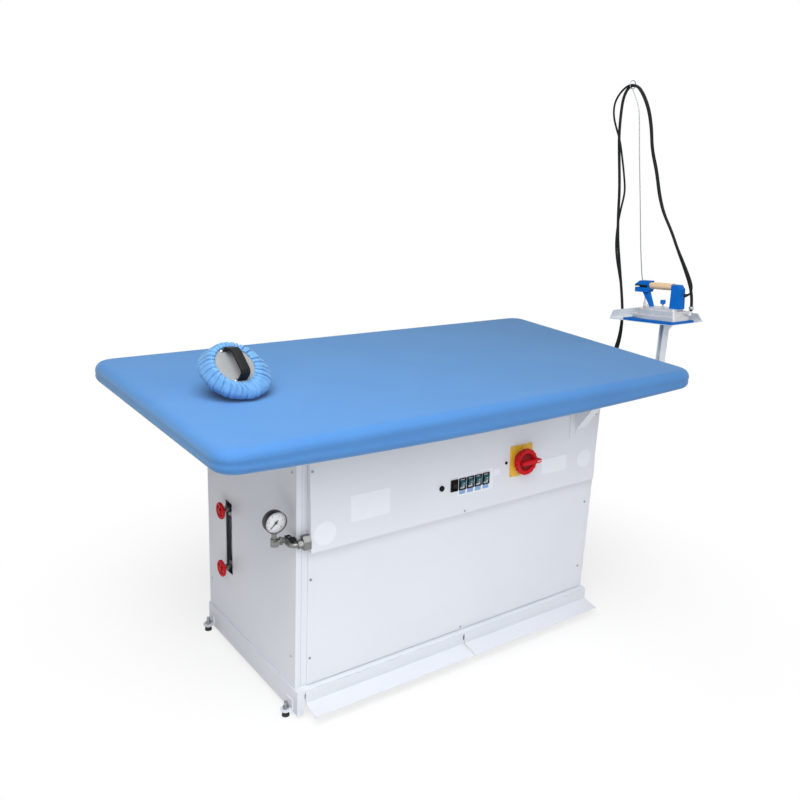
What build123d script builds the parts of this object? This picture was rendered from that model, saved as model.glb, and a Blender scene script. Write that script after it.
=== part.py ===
import os
from math import atan2, cos, degrees, pi, radians, sin, sqrt, tan

from build123d import *

os.makedirs("parts", exist_ok=True)

# Ironing board: height and plan
board_length = 1650
board_width = 900
board_top = 880
board_depth = 78
board_rise = 18          # the underside climbs this much from the middle to each end
board_corner = 58
board_top_round = 26
board_under_round = 20
cover_cloth = 3
cover_hem = 60
pad_felt = 14
soft_gap = 0.3
plate_sheet = 2
shell_sheet = 2
vent_hole = 12
vent_pitch = 110
heater_tube = 8

# The iron's tray reaches further out than the board, so the board stands off the middle
tray_near = 800          # tray's edge nearest the board, from the board's centre
tray_width = 170
tray_reach = tray_near + tray_width
board_x = (board_length / 2 - tray_reach) / 2

# Cabinet
cabinet_left = board_x - 547
cabinet_right = board_x + 563
cabinet_front = -280     # front face of the corner posts
cabinet_back = 281       # rear face of the corner posts
plinth_bottom = 14
plinth_top = 86
plinth_front = -302
plinth_proud = 3.5
plinth_sheet = 3
panel_sheet = 2
cabinet_top = board_top - 80
side_return = 16
post_width = 46
post_depth = 28
post_wall = 2.5
rail_size = 25

# Lower front panel and control box
seam_height = 500        # joint between the lower panel and the control box
front_left = board_x - 512
front_right = board_x + 546
panel_rim = 14
box_left = board_x - 515
box_right = board_x + 542
box_low_front = -305
box_high_front = -290
box_back = -281
box_bottom = seam_height + 1
box_top = cabinet_top - 2
box_height = box_top - box_bottom
face_tilt = degrees(atan2(box_high_front - box_low_front, box_height))

# Switches in the control box, heights measured above the floor
switch_height = 595
rocker_pitch = 29.5
rocker_first = board_x - 16.5
rocker_count = 4
rocker_long = 29
rocker_wide = 18
rocker_play = 0.5
bezel_long = 36
bezel_wide = 26
bezel_proud = 3
bezel_depth = 22
rocker_pivot = 1.5
rocker_pivot_play = 0.05
rocker_throw = 8
black_rocker_x = board_x - 46.5
button_x = board_x - 92
button_radius = 4
button_ring = 8.5
button_travel = 4
isolator_x = board_x + 210
isolator_height = 628
isolator_plate_wide = 88
isolator_plate_high = 98
isolator_knob_radius = 41
isolator_knob_deep = 38
isolator_skirt = 14
isolator_rim = 14
isolator_shaft = 4
shaft_play = 0.05

# Level gauge on the left side
boiler_x = board_x - 400
boiler_y = 134
boiler_radius = 110
boiler_low = 150
boiler_high = 580
heater_height = boiler_low + 70
boss_radius = 13
boss_length = 8
slot_low = 256
slot_high = 490
slot_width = 44
valve_high = 466
valve_low = 278
valve_radius = 10
glass_radius = 6.5
glass_offset = 536       # glass, left of the board's centre
wheel_radius = 26
wheel_rim = 4.5
wheel_offset = 572
stem_radius = 4

# Steam pressure gauge and its pipework
pipe_height = 534
pipe_y = -299
corner_offset = 564
branch_y = -257
tee_offset = 597
gauge_height = pipe_height + 60
gauge_radius = 30
gauge_front = -275
gauge_deep = 30
gauge_wall = 2.5
lever_y = -277
lever_wide = 14
lever_long = 26

# Fan
fan_x = board_x + 40
fan_y = 0
duct_radius = 75
duct_wall = 2
fan_top = 520
fan_bottom = 410
fan_radius = 165
impeller_radius = 140
impeller_play = 8
blade_count = 24
motor_radius = 75
motor_low = 216
motor_shaft = 7

# Pedals
pedal_front = -304.8
pedal_sheet = 2.5
pedal_top = 82.5
pedal_knee = 47
pedal_tip_y = -362
pedal_tip_z = 37.5
pedal_axis_y = -280
pedal_axis_z = 60
pedal_pin = 4
pedal_pin_play = 0.05
left_pedal_span = (board_x - 525, board_x + 24)
right_pedal_span = (board_x + 31, board_x + 566)
ear_sheet = 3
ear_inset = 8

# Feet
foot_y = 263
foot_stand_off = 14.5
foot_pad_radius = 11
foot_pad_high = 8
foot_stud = 5
foot_tab_low = 18
foot_tab_sheet = 4
foot_tab_width = 30

# Iron rest: post, tray and mat
post_near = 860          # post, from the board's centre
rest_post_wide = 30
rest_post_deep = 18
rest_post_back = -244
rest_wall = 2.5
arm_low = 745
arm_high = 775
tray_sheet = 2
tray_tilt = 6.3
tray_length = 276
tray_front = (-339, 1006)
back_lip = 29
far_lip = 27
mat_wide = 122
mat_long = 213
mat_thick = 8

# Iron, measured along the tray from its front edge and up from its floor
iron_centre = 61
iron_wide = 84
iron_tail = 6
iron_nose = 224
sole_thick = 13
iron_deck = 50
grip_centre = 121.5
grip_radius = 11.5
grip_start = 44
grip_end = 142
handle_half = 15
stanchion_half = 8
iron_knob_at = 88
iron_knob_radius = 9
iron_knob_low = 62
iron_knob_high = 76
knob_stem = 3
inlet_along = -8
inlet_across = 85
inlet_radius = 7
inlet_top = 1051.5

# Hose rod
socket_at = (154.5, 247)
socket_high = 50
socket_radius = 5.5
rod_radius = 1.75
spring_at = (160, 236)
spring_wire = 0.75
spring_radius = 4.2
spring_pitch = 2.8
spring_turns = 14
spring_pin = 2.5
ring_centre = (board_x + 874, 14, 1763)
ring_inner = 12
ring_wire = 1.5

# Steam hose and cable
hose_radius = 5
cable_radius = 3.5
gland_height = 667
hose_gland_y = 42
cable_gland_y = 78
gland_length = 27

# Hand pad: a domed cushion leaning on the board
pad_centre = (board_x - 614.6, -72.6, board_top + 86.3)
pad_elevation = 46.7
pad_azimuth = -80.3
pad_roll = 0.119         # x part of the handle's direction
pad_plate_radius = 57
pad_plate_thick = 5
pad_radius = 92
pad_bulge = 18
pad_deep = 58
pad_handle_long = 100
pad_handle_high = 37
pad_handle_wide = 26
pad_handle_thick = 8


def face_y(height):
    """Depth of the control box's leaning face at a height above the floor."""
    return box_low_front + (height - box_bottom) * tan(radians(face_tilt))


def face_plane(x, height):
    """Plane on the leaning face, X to the right, Y up the face, Z outwards."""
    lean = radians(face_tilt)
    return Plane(
        origin=(x, face_y(height), height),
        x_dir=(1, 0, 0),
        z_dir=(0, -cos(lean), sin(lean)),
    )


def tray_plane(along=0, up=0, across=0):
    """Plane of the tray's floor: X outwards, Y towards the back, Z off the floor."""
    lean = radians(tray_tilt)
    y = tray_front[0] + along * cos(lean) + up * sin(lean)
    z = tray_front[1] - along * sin(lean) + up * cos(lean)
    return Plane(
        origin=(board_x + tray_near + across, y, z),
        x_dir=(1, 0, 0),
        z_dir=(0, sin(lean), cos(lean)),
    )


def tray_side(across):
    """Plane square to the tray's width: X along the tray, Y up, Z towards the board."""
    flat = tray_plane(across=across)
    return Plane(origin=flat.origin, x_dir=flat.y_dir, z_dir=(1, 0, 0))


# Forms of the board, one inside the other
def board_form(inset):
    """The board's crowned block, smaller by inset on every side."""
    half_length = board_length / 2 - inset
    middle = board_top - board_depth + inset
    ends = middle + board_rise
    with BuildPart() as form:
        with BuildSketch(Plane.XZ.offset(-board_width)):
            with BuildLine():
                ThreePointArc(
                    (board_x - half_length, ends), (board_x, middle), (board_x + half_length, ends)
                )
                Polyline(
                    (board_x + half_length, ends),
                    (board_x + half_length, board_top - inset),
                    (board_x - half_length, board_top - inset),
                    (board_x - half_length, ends),
                )
            make_face()
        extrude(amount=2 * board_width)
        with BuildSketch(Plane.XY.offset(middle - 1)):
            with Locations((board_x, 0)):
                RectangleRounded(2 * half_length, board_width - 2 * inset, board_corner - inset)
        extrude(amount=board_depth + 2, mode=Mode.INTERSECT)
        fillet(form.faces().sort_by(Axis.Z)[-1].edges(), board_top_round - inset)
        fillet(form.faces().sort_by(Axis.Z)[0].edges(), board_under_round - inset)
    return form.part


outer_form = board_form(0)
lining_form = board_form(cover_cloth)
filling_form = board_form(cover_cloth + soft_gap)
hollow_form = board_form(cover_cloth + soft_gap + shell_sheet)

pad_low = board_top - cover_cloth - soft_gap - pad_felt
plate_low = pad_low - plate_sheet
shell_low = board_top - board_depth + cover_cloth + soft_gap

with BuildPart() as board_cover:
    add(outer_form)
    add(lining_form, mode=Mode.SUBTRACT)
    with BuildSketch(Plane.XY.offset(board_top - board_depth - 5)):
        with Locations((board_x, 0)):
            RectangleRounded(
                board_length - 2 * cover_hem, board_width - 2 * cover_hem, board_corner / 2
            )
    extrude(amount=board_depth / 2, mode=Mode.SUBTRACT)
board_cover.part.label = "board_cover"
export_step(board_cover.part, "parts/board_cover.step")

with BuildPart() as board_pad:
    add(filling_form)
    with BuildSketch(Plane.XY.offset(pad_low)):
        with Locations((board_x, 0)):
            Rectangle(2 * board_length, 2 * board_width)
    extrude(amount=-board_depth * 2, mode=Mode.SUBTRACT)
board_pad.part.label = "board_pad"
export_step(board_pad.part, "parts/board_pad.step")

with BuildPart() as perforated_plate:
    with BuildSketch(Plane.XY.offset(plate_low)):
        with Locations((board_x, 0)):
            RectangleRounded(
                board_length - 2 * (cover_cloth + soft_gap),
                board_width - 2 * (cover_cloth + soft_gap),
                board_corner - cover_cloth - soft_gap,
            )
            with GridLocations(vent_pitch, vent_pitch, 14, 7):
                Circle(vent_hole / 2, mode=Mode.SUBTRACT)
    extrude(amount=plate_sheet)
    add(filling_form, mode=Mode.INTERSECT)
perforated_plate.part.label = "perforated_plate"
export_step(perforated_plate.part, "parts/perforated_plate.step")

with BuildPart() as board_shell:
    add(filling_form)
    add(hollow_form, mode=Mode.SUBTRACT)
    with BuildSketch(Plane.XY.offset(plate_low)):
        with Locations((board_x, 0)):
            Rectangle(2 * board_length, 2 * board_width)
    extrude(amount=board_depth, mode=Mode.SUBTRACT)
    with BuildSketch(Plane.XY.offset(shell_low - 5)):
        with Locations((fan_x, fan_y)):
            Circle(duct_radius - duct_wall)
    extrude(amount=board_depth / 3, mode=Mode.SUBTRACT)
board_shell.part.label = "board_shell"
export_step(board_shell.part, "parts/board_shell.step")

# Heating element: one tube in four long passes under the perforated plate
heater_half = board_length / 2 - 130
heater_step = 150
heater_rows = [heater_step * (row - 2.5) for row in range(6)]
heater_points = []
for number, row in enumerate(heater_rows):
    side = 1 if number % 2 else -1
    heater_points.append((board_x + side * heater_half, row))
    heater_points.append((board_x - side * heater_half, row))
heater_z = plate_low - heater_tube / 2 - 0.2
with BuildPart() as plate_heater:
    with BuildLine() as heater_path:
        FilletPolyline(*[(x, y, heater_z) for x, y in heater_points], radius=heater_step * 0.4)
    with BuildSketch(Plane(origin=heater_path.line @ 0, z_dir=heater_path.line % 0)):
        Circle(heater_tube / 2)
    sweep(path=heater_path.line)
plate_heater.part.label = "plate_heater"
export_step(plate_heater.part, "parts/plate_heater.step")

# Plinth with its floor plate, foot tabs and pedal lugs
plinth_left = cabinet_left - plinth_proud
plinth_right = cabinet_right + plinth_proud
plinth_back = cabinet_back + panel_sheet + plinth_proud
corner_block = 22
lip_high = 8
lug_sheet = 5
lug_half = 11
lug_low = 50
pedal_gap_x = (left_pedal_span[1] + right_pedal_span[0]) / 2
lug_places = [
    left_pedal_span[0] + lug_sheet / 2,
    pedal_gap_x,
    right_pedal_span[1] - ear_inset - 2 * lug_sheet,
]
with BuildPart() as base_frame:
    with BuildSketch(Plane.XY.offset(plinth_top - plinth_sheet)):
        with BuildLine():
            Polyline(
                (plinth_left, plinth_front),
                (plinth_right, plinth_front),
                (plinth_right, plinth_back),
                (plinth_left, plinth_back),
                close=True,
            )
        make_face()
    extrude(amount=plinth_sheet)
    with BuildSketch(Plane.XY.offset(plinth_bottom)):
        with BuildLine():
            Polyline(
                (plinth_left, plinth_front),
                (plinth_left + corner_block, plinth_front),
                (plinth_left + corner_block, plinth_front + plinth_sheet),
                (plinth_left + plinth_sheet, plinth_front + plinth_sheet),
                (plinth_left + plinth_sheet, plinth_back - plinth_sheet),
                (plinth_right - plinth_sheet, plinth_back - plinth_sheet),
                (plinth_right - plinth_sheet, plinth_front + 4 * plinth_sheet),
                (plinth_right, plinth_front + 4 * plinth_sheet),
                (plinth_right, plinth_back),
                (plinth_left, plinth_back),
                close=True,
            )
        make_face()
    extrude(amount=plinth_top - plinth_sheet - plinth_bottom)
    with BuildSketch(Plane.XY.offset(plinth_top - plinth_sheet)):
        with BuildLine():
            Polyline(
                (plinth_left, plinth_front),
                (plinth_right, plinth_front),
                (plinth_right, plinth_front + plinth_sheet),
                (plinth_left, plinth_front + plinth_sheet),
                close=True,
            )
        make_face()
    extrude(amount=-lip_high)
    for side, wall in ((-1, plinth_left), (1, plinth_right)):
        for y in (-foot_y, foot_y):
            with BuildSketch(Plane.XY.offset(foot_tab_low)):
                with Locations((wall + side * foot_stand_off / 2, y)):
                    Rectangle(foot_stand_off, foot_tab_width)
                with Locations((wall + side * foot_stand_off, y)):
                    Circle(foot_tab_width / 2)
                with Locations((wall - side * foot_tab_width / 2, y)):
                    Rectangle(foot_tab_width, foot_tab_width, mode=Mode.SUBTRACT)
                with Locations((wall + side * foot_stand_off, y)):
                    Circle(foot_stud, mode=Mode.SUBTRACT)
            extrude(amount=foot_tab_sheet)
            with BuildSketch(Plane.XY.offset(foot_tab_low + foot_tab_sheet)):
                with Locations((wall + side * foot_tab_sheet / 2, y)):
                    Rectangle(foot_tab_sheet, foot_tab_width)
            extrude(amount=foot_tab_width)
    for x in lug_places:
        with BuildSketch(Plane.YZ.offset(x - lug_sheet / 2)):
            with BuildLine():
                Polyline(
                    (pedal_axis_y - lug_half, plinth_top - plinth_sheet),
                    (pedal_axis_y - lug_half, lug_low),
                    (pedal_axis_y + lug_half, lug_low),
                    (pedal_axis_y + lug_half, plinth_top - plinth_sheet),
                    close=True,
                )
            make_face()
            with Locations((pedal_axis_y, pedal_axis_z)):
                Circle(pedal_pin + pedal_pin_play / 2, mode=Mode.SUBTRACT)
        extrude(amount=lug_sheet)
base_frame.part.label = "base_frame"
export_step(base_frame.part, "parts/base_frame.step")

# Levelling feet
foot_places = [
    (wall, y)
    for wall in (plinth_left - foot_stand_off, plinth_right + foot_stand_off)
    for y in (-foot_y, foot_y)
]
stud_top = foot_tab_low + foot_tab_sheet + 22
nut_across = 16
nut_high = 7
with BuildPart() as foot_studs:
    for x, y in foot_places:
        with BuildSketch(Plane.XY.offset(foot_pad_high)):
            with Locations((x, y)):
                Circle(foot_stud - 0.1)
        extrude(amount=stud_top - foot_pad_high)
        for low in (foot_tab_low - nut_high, foot_tab_low + foot_tab_sheet):
            with BuildSketch(Plane.XY.offset(low)):
                with Locations((x, y)):
                    RegularPolygon(nut_across / 2, 6, major_radius=False)
            extrude(amount=nut_high)
foot_studs.part.label = "foot_studs"
export_step(foot_studs.part, "parts/foot_studs.step")

with BuildPart() as foot_pads:
    for x, y in foot_places:
        with BuildSketch():
            with Locations((x, y)):
                Circle(foot_pad_radius)
        extrude(amount=foot_pad_high, taper=8)
foot_pads.part.label = "foot_pads"
export_step(foot_pads.part, "parts/foot_pads.step")


# Pedals: a folded treadle with two ears that hang on the pedal rod
def pedal(span, ears):
    left, right = span
    fold = pedal_sheet / cos(atan2(pedal_knee - pedal_tip_z, pedal_front - pedal_tip_y))
    with BuildPart() as treadle:
        with BuildSketch(Plane.YZ.offset(left)):
            with BuildLine():
                Polyline(
                    (pedal_front, pedal_top),
                    (pedal_front, pedal_knee),
                    (pedal_tip_y, pedal_tip_z),
                    (pedal_tip_y, pedal_tip_z - fold),
                    (pedal_front + pedal_sheet, pedal_knee - fold),
                    (pedal_front + pedal_sheet, pedal_top),
                    close=True,
                )
            make_face()
        extrude(amount=right - left)
        for x in ears:
            with BuildSketch(Plane.YZ.offset(x)):
                with BuildLine():
                    Polyline(
                        (pedal_front + pedal_sheet, pedal_axis_z + 13),
                        (pedal_front + pedal_sheet, pedal_knee),
                        (pedal_axis_y, pedal_axis_z - 10),
                        (pedal_axis_y + 12, pedal_axis_z - 6),
                        (pedal_axis_y + 12, pedal_axis_z + 8),
                        (pedal_axis_y, pedal_axis_z + 13),
                        close=True,
                    )
                make_face()
                with Locations((pedal_axis_y, pedal_axis_z)):
                    Circle(pedal_pin + pedal_pin_play, mode=Mode.SUBTRACT)
            extrude(amount=ear_sheet)
    return treadle.part


left_ears = (left_pedal_span[0] + ear_inset, left_pedal_span[1] - ear_inset - ear_sheet)
right_ears = (right_pedal_span[0] + ear_inset, right_pedal_span[1] - ear_inset - 5 * lug_sheet)

left_pedal = pedal(left_pedal_span, left_ears)
left_pedal.label = "left_pedal"
export_step(left_pedal, "parts/left_pedal.step")

right_pedal = pedal(right_pedal_span, right_ears)
right_pedal.label = "right_pedal"
export_step(right_pedal, "parts/right_pedal.step")

# Pedal rod with the sleeves of its return springs
spring_sleeve = 8
spring_sleeve_long = 40
with BuildPart() as pedal_rod:
    with BuildSketch(Plane.YZ.offset(lug_places[0] - lug_sheet)):
        with Locations((pedal_axis_y, pedal_axis_z)):
            Circle(pedal_pin)
    extrude(amount=lug_places[2] - lug_places[0] + 2 * lug_sheet)
    for x in (left_ears[0] + 12, right_ears[1] - 12 - spring_sleeve_long):
        with BuildSketch(Plane.YZ.offset(x)):
            with Locations((pedal_axis_y, pedal_axis_z)):
                Circle(spring_sleeve)
                Circle(pedal_pin + soft_gap, mode=Mode.SUBTRACT)
        extrude(amount=spring_sleeve_long)
pedal_rod.part.label = "pedal_rod"
export_step(pedal_rod.part, "parts/pedal_rod.step")

# Welded frame: four corner posts, top rails, a front rail and cleats under the board
post_xs = (cabinet_left + panel_sheet, cabinet_right - panel_sheet - post_width)
post_ys = (cabinet_front, cabinet_back - post_depth)
inner_left = post_xs[0] + post_width
inner_right = post_xs[1]


def bar(x, y, z, width, depth, height):
    """A solid bar from its low corner."""
    with BuildPart() as block:
        with Locations((x, y, z)):
            Box(width, depth, height, align=(Align.MIN, Align.MIN, Align.MIN))
    return block.part


with BuildPart() as cabinet_frame:
    for x in post_xs:
        for y in post_ys:
            with BuildSketch(Plane.XY.offset(plinth_top)):
                with Locations((x + post_width / 2, y + post_depth / 2)):
                    Rectangle(post_width, post_depth)
                    Rectangle(
                        post_width - 2 * post_wall, post_depth - 2 * post_wall, mode=Mode.SUBTRACT
                    )
            extrude(amount=cabinet_top - plinth_top)
    for y in (cabinet_front, cabinet_back - rail_size):
        add(bar(inner_left, y, cabinet_top - rail_size, inner_right - inner_left, rail_size, rail_size))
    add(bar(
        inner_left, cabinet_front, seam_height + 1 - rail_size,
        inner_right - inner_left, rail_size, rail_size,
    ))
    for x in (post_xs[0], cabinet_right - panel_sheet - rail_size):
        depth = post_ys[1] - cabinet_front - post_depth
        add(bar(x, cabinet_front + post_depth, cabinet_top - rail_size, rail_size, depth, rail_size))
    for x in post_xs:
        for y in post_ys:
            add(bar(x, y, cabinet_top, post_width, post_depth, board_rise + 20))
    add(lining_form, mode=Mode.SUBTRACT)
cabinet_frame.part.label = "cabinet_frame"
export_step(cabinet_frame.part, "parts/cabinet_frame.step")


# Side panels: sheet with a return at the front and the back
def side_panel(outer, inward):
    """A folded side panel; inward is +1 on the left side and -1 on the right side."""
    inner = outer + inward * panel_sheet
    tip = outer + inward * side_return
    front = cabinet_front - panel_sheet
    back = cabinet_back + panel_sheet
    with BuildPart() as panel:
        with BuildSketch(Plane.XY.offset(plinth_top)):
            with BuildLine():
                Polyline(
                    (outer, front),
                    (tip, front),
                    (tip, cabinet_front),
                    (inner, cabinet_front),
                    (inner, cabinet_back),
                    (tip, cabinet_back),
                    (tip, back),
                    (outer, back),
                    close=True,
                )
            make_face()
        extrude(amount=cabinet_top - plinth_top)
    return panel.part


left_sheet = side_panel(cabinet_left, 1)
with BuildPart() as left_side_panel:
    add(left_sheet)
    with BuildSketch(Plane.YZ.offset(cabinet_left - 1)):
        with Locations((boiler_y, (slot_low + slot_high) / 2)):
            Rectangle(slot_width, slot_high - slot_low)
    extrude(amount=panel_sheet + 2, mode=Mode.SUBTRACT)
left_side_panel.part.label = "left_side_panel"
export_step(left_side_panel.part, "parts/left_side_panel.step")

right_side_panel = side_panel(cabinet_right, -1)
right_side_panel.label = "right_side_panel"
export_step(right_side_panel, "parts/right_side_panel.step")

# Back panel with the fan's exhaust slots
back_left = cabinet_left + side_return + 1
back_right = cabinet_right - side_return - 1
grille_x = fan_x + 90
slot_pitch = 14
with BuildPart() as back_panel:
    with BuildSketch(Plane.XZ.offset(-cabinet_back)):
        with BuildLine():
            Polyline(
                (back_left, plinth_top),
                (back_right, plinth_top),
                (back_right, cabinet_top),
                (back_left, cabinet_top),
                close=True,
            )
        make_face()
        with Locations((grille_x, (fan_top + fan_bottom) / 2)):
            with GridLocations(1, slot_pitch, 1, 6):
                SlotOverall(130, 6, mode=Mode.SUBTRACT)
    extrude(amount=-panel_sheet)
back_panel.part.label = "back_panel"
export_step(back_panel.part, "parts/back_panel.step")

# Lower front panel: a shallow pan that screws to the posts
with BuildPart() as lower_front_panel:
    add(bar(
        front_left, cabinet_front - 2 * panel_sheet, plinth_top + 2,
        front_right - front_left, 2 * panel_sheet, seam_height - 1 - plinth_top - 2,
    ))
    front_edges = lower_front_panel.faces().sort_by(Axis.Y)[0].edges()
    fillet(front_edges, 1)
    with BuildSketch(Plane.XZ.offset(-cabinet_front)):
        with BuildLine():
            Polyline(
                (front_left + panel_rim, plinth_top + 2 + panel_rim),
                (front_right - panel_rim, plinth_top + 2 + panel_rim),
                (front_right - panel_rim, seam_height - 1 - panel_rim),
                (front_left + panel_rim, seam_height - 1 - panel_rim),
                close=True,
            )
        make_face()
    extrude(amount=panel_sheet, mode=Mode.SUBTRACT)
lower_front_panel.part.label = "lower_front_panel"
export_step(lower_front_panel.part, "parts/lower_front_panel.step")

# Control box: a leaning folded front with openings for the switches
rocker_xs = [rocker_first + number * rocker_pitch for number in range(rocker_count)]
with BuildPart() as control_box:
    with BuildSketch(Plane.YZ.offset(box_left)):
        with BuildLine():
            Polyline(
                (box_back, box_bottom),
                (box_low_front, box_bottom),
                (box_high_front, box_top),
                (box_back, box_top),
                close=True,
            )
        make_face()
    extrude(amount=box_right - box_left)
    with BuildSketch(Plane.YZ.offset(box_left + panel_sheet)):
        with BuildLine():
            Polyline(
                (box_back + 1, box_bottom + panel_sheet),
                (face_y(box_bottom) + panel_sheet, box_bottom + panel_sheet),
                (face_y(box_top) + panel_sheet, box_top - panel_sheet),
                (box_back + 1, box_top - panel_sheet),
                close=True,
            )
        make_face()
    extrude(amount=box_right - box_left - 2 * panel_sheet, mode=Mode.SUBTRACT)
    add(bar(
        inner_left + 5, box_back, box_bottom,
        inner_right - inner_left - 10, rail_size - 5, panel_sheet,
    ))
    with BuildSketch(face_plane(0, switch_height)):
        with Locations(*[(x, 0) for x in rocker_xs + [black_rocker_x]]):
            Rectangle(bezel_wide - 4, bezel_long - 4)
        with Locations((button_x, 0)):
            Circle(button_ring - 3)
    extrude(amount=-10, both=True, mode=Mode.SUBTRACT)
    with BuildSketch(face_plane(isolator_x, isolator_height)):
        Circle(16)
    extrude(amount=-10, both=True, mode=Mode.SUBTRACT)
control_box.part.label = "control_box"
export_step(control_box.part, "parts/control_box.step")

# Front bracket that props the board's overhang
bracket_web = board_x + 441
bracket_low = cabinet_top - 138
bracket_flange = 27
bracket_tip = -board_width / 2 + 62
bracket_slope = (
    (-303, cabinet_top - 109),
    (bracket_tip + 12, cabinet_top - 7),
    (bracket_tip, cabinet_top + 12),
)
bracket_sheet = 3
with BuildPart() as front_bracket:
    with BuildSketch(Plane.YZ.offset(bracket_web - bracket_sheet)):
        with BuildLine():
            Polyline(
                (face_y(bracket_low), bracket_low),
                (bracket_slope[0]),
                (bracket_slope[1]),
                (bracket_slope[2]),
                (bracket_slope[2][0], cabinet_top + 30),
                (face_y(box_top), cabinet_top + 30),
                (face_y(box_top), box_top),
                close=True,
            )
        make_face()
    extrude(amount=bracket_sheet)
    with BuildSketch(Plane.YZ.offset(bracket_web)):
        with BuildLine():
            Polyline(
                (bracket_slope[0]),
                (bracket_slope[1]),
                (bracket_slope[2]),
                (bracket_slope[2][0] + 4, bracket_slope[2][1]),
                (bracket_slope[1][0] + 3, bracket_slope[1][1]),
                (bracket_slope[0][0] + 3, bracket_slope[0][1] - 1),
                close=True,
            )
        make_face()
    extrude(amount=35)
    with BuildSketch(Plane.YZ.offset(bracket_web - bracket_flange)):
        with BuildLine():
            Polyline(
                (face_y(bracket_low), bracket_low),
                (face_y(box_top - 2), box_top - 2),
                (face_y(box_top - 2) - bracket_sheet, box_top - 2),
                (face_y(bracket_low) - bracket_sheet, bracket_low),
                close=True,
            )
        make_face()
    extrude(amount=bracket_flange)
    add(lining_form, mode=Mode.SUBTRACT)
front_bracket.part.label = "front_bracket"
export_step(front_bracket.part, "parts/front_bracket.step")

# Screws that hold the panels
screw_head = 4
screw_high = 2.2
lower_panel_face = cabinet_front - 2 * panel_sheet
front_screws = [
    (x, z) for x in (front_left + 8, front_right - 12) for z in (172, 412)
] + [(board_x + 15, seam_height - 7)]
side_screws = [(y, z) for y in (cabinet_front + 20, cabinet_back - 20) for z in (181, 720)]
back_screws = [
    (x, z) for x in (back_left + 10, back_right - 10) for z in (110, cabinet_top / 2, cabinet_top - 20)
]
with BuildPart() as panel_screws:
    with BuildSketch(Plane.XZ.offset(-lower_panel_face)):
        with Locations(*front_screws):
            Circle(screw_head)
    extrude(amount=screw_high, taper=20)
    for x in (box_left + 7, box_right - 10):
        with BuildSketch(face_plane(x, 726)):
            Circle(screw_head)
        extrude(amount=screw_high, taper=20)
    with BuildSketch(Plane.YZ.offset(cabinet_left)):
        with Locations(*side_screws):
            Circle(screw_head)
    extrude(amount=-screw_high, taper=20)
    with BuildSketch(Plane.YZ.offset(cabinet_right)):
        with Locations(*side_screws):
            Circle(screw_head)
    extrude(amount=screw_high, taper=20)
    with BuildSketch(Plane.XZ.offset(-cabinet_back - panel_sheet)):
        with Locations(*back_screws):
            Circle(screw_head)
    extrude(amount=-screw_high, taper=20)
panel_screws.part.label = "panel_screws"
export_step(panel_screws.part, "parts/panel_screws.step")

# Switch frames: five rocker frames with their bodies, and the button's ring and barrel
with BuildPart() as switch_bezels:
    for x in rocker_xs + [black_rocker_x]:
        with BuildSketch(face_plane(x, switch_height)):
            RectangleRounded(bezel_wide, bezel_long, 1.5)
        extrude(amount=bezel_proud)
        with BuildSketch(face_plane(x, switch_height)):
            Rectangle(bezel_wide - 4.4, bezel_long - 4.4)
        extrude(amount=-bezel_depth)
        with BuildSketch(face_plane(x, switch_height).offset(bezel_proud)):
            Rectangle(rocker_wide, rocker_long + 2 * rocker_play)
        extrude(amount=-bezel_proud - bezel_depth + 2, mode=Mode.SUBTRACT)
        pivot = face_plane(x, switch_height).offset(-1)
        with BuildSketch(Plane(origin=pivot.origin, x_dir=pivot.y_dir, z_dir=(1, 0, 0))):
            Circle(rocker_pivot + rocker_pivot_play)
        extrude(amount=bezel_wide / 2 - 2.6, both=True, mode=Mode.SUBTRACT)
    with BuildSketch(face_plane(button_x, switch_height)):
        Circle(button_ring)
    extrude(amount=bezel_proud)
    with BuildSketch(face_plane(button_x, switch_height)):
        Circle(button_ring - 3.2)
    extrude(amount=-bezel_depth)
    with BuildSketch(face_plane(button_x, switch_height).offset(bezel_proud)):
        Circle(button_radius + shaft_play)
    extrude(amount=-bezel_proud - bezel_depth + 2, mode=Mode.SUBTRACT)
switch_bezels.part.label = "switch_bezels"
export_step(switch_bezels.part, "parts/switch_bezels.step")


# Rocker: two slanting flats on a body that swings on its own pivots
def rocker(x):
    """A rocker at rest, its top edge tipped in by the throw."""
    plane = face_plane(x, switch_height).offset(-1)
    lean = radians(rocker_throw)
    half = rocker_long / 2 - 0.6

    def tipped(up, out):
        return (up * cos(lean) - out * sin(lean), up * sin(lean) + out * cos(lean))

    with BuildPart() as paddle:
        start = plane.origin - Vector(1, 0, 0) * (rocker_wide / 2 - rocker_play)
        with BuildSketch(Plane(origin=start, x_dir=plane.y_dir, z_dir=(1, 0, 0))):
            with BuildLine():
                Polyline(
                    tipped(-half, -5.6),
                    tipped(0, -3.4),
                    tipped(half, -5.6),
                    tipped(half - 2, 0),
                    tipped(7, 8),
                    tipped(-7, 8),
                    tipped(-half + 2, 0),
                    close=True,
                )
            make_face()
        extrude(amount=rocker_wide - 2 * rocker_play)
        with BuildSketch(Plane(origin=plane.origin, x_dir=plane.y_dir, z_dir=(1, 0, 0))):
            Circle(rocker_pivot)
        extrude(amount=bezel_wide / 2 - 2.8, both=True)
    return paddle.part


for number, x in enumerate(rocker_xs, start=1):
    paddle = rocker(x)
    paddle.label = f"rocker_{number}"
    export_step(paddle, f"parts/rocker_{number}.step")

black_rocker = rocker(black_rocker_x)
black_rocker.label = "black_rocker"
export_step(black_rocker, "parts/black_rocker.step")

with BuildPart() as push_button:
    with BuildSketch(face_plane(button_x, switch_height).offset(bezel_proud + button_travel + 0.5)):
        Circle(button_radius)
    extrude(amount=-bezel_proud - button_travel - bezel_depth + 8)
    fillet(push_button.faces().sort_by(Axis.Y)[0].edges(), 1)
push_button.part.label = "push_button"
export_step(push_button.part, "parts/push_button.step")

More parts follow.
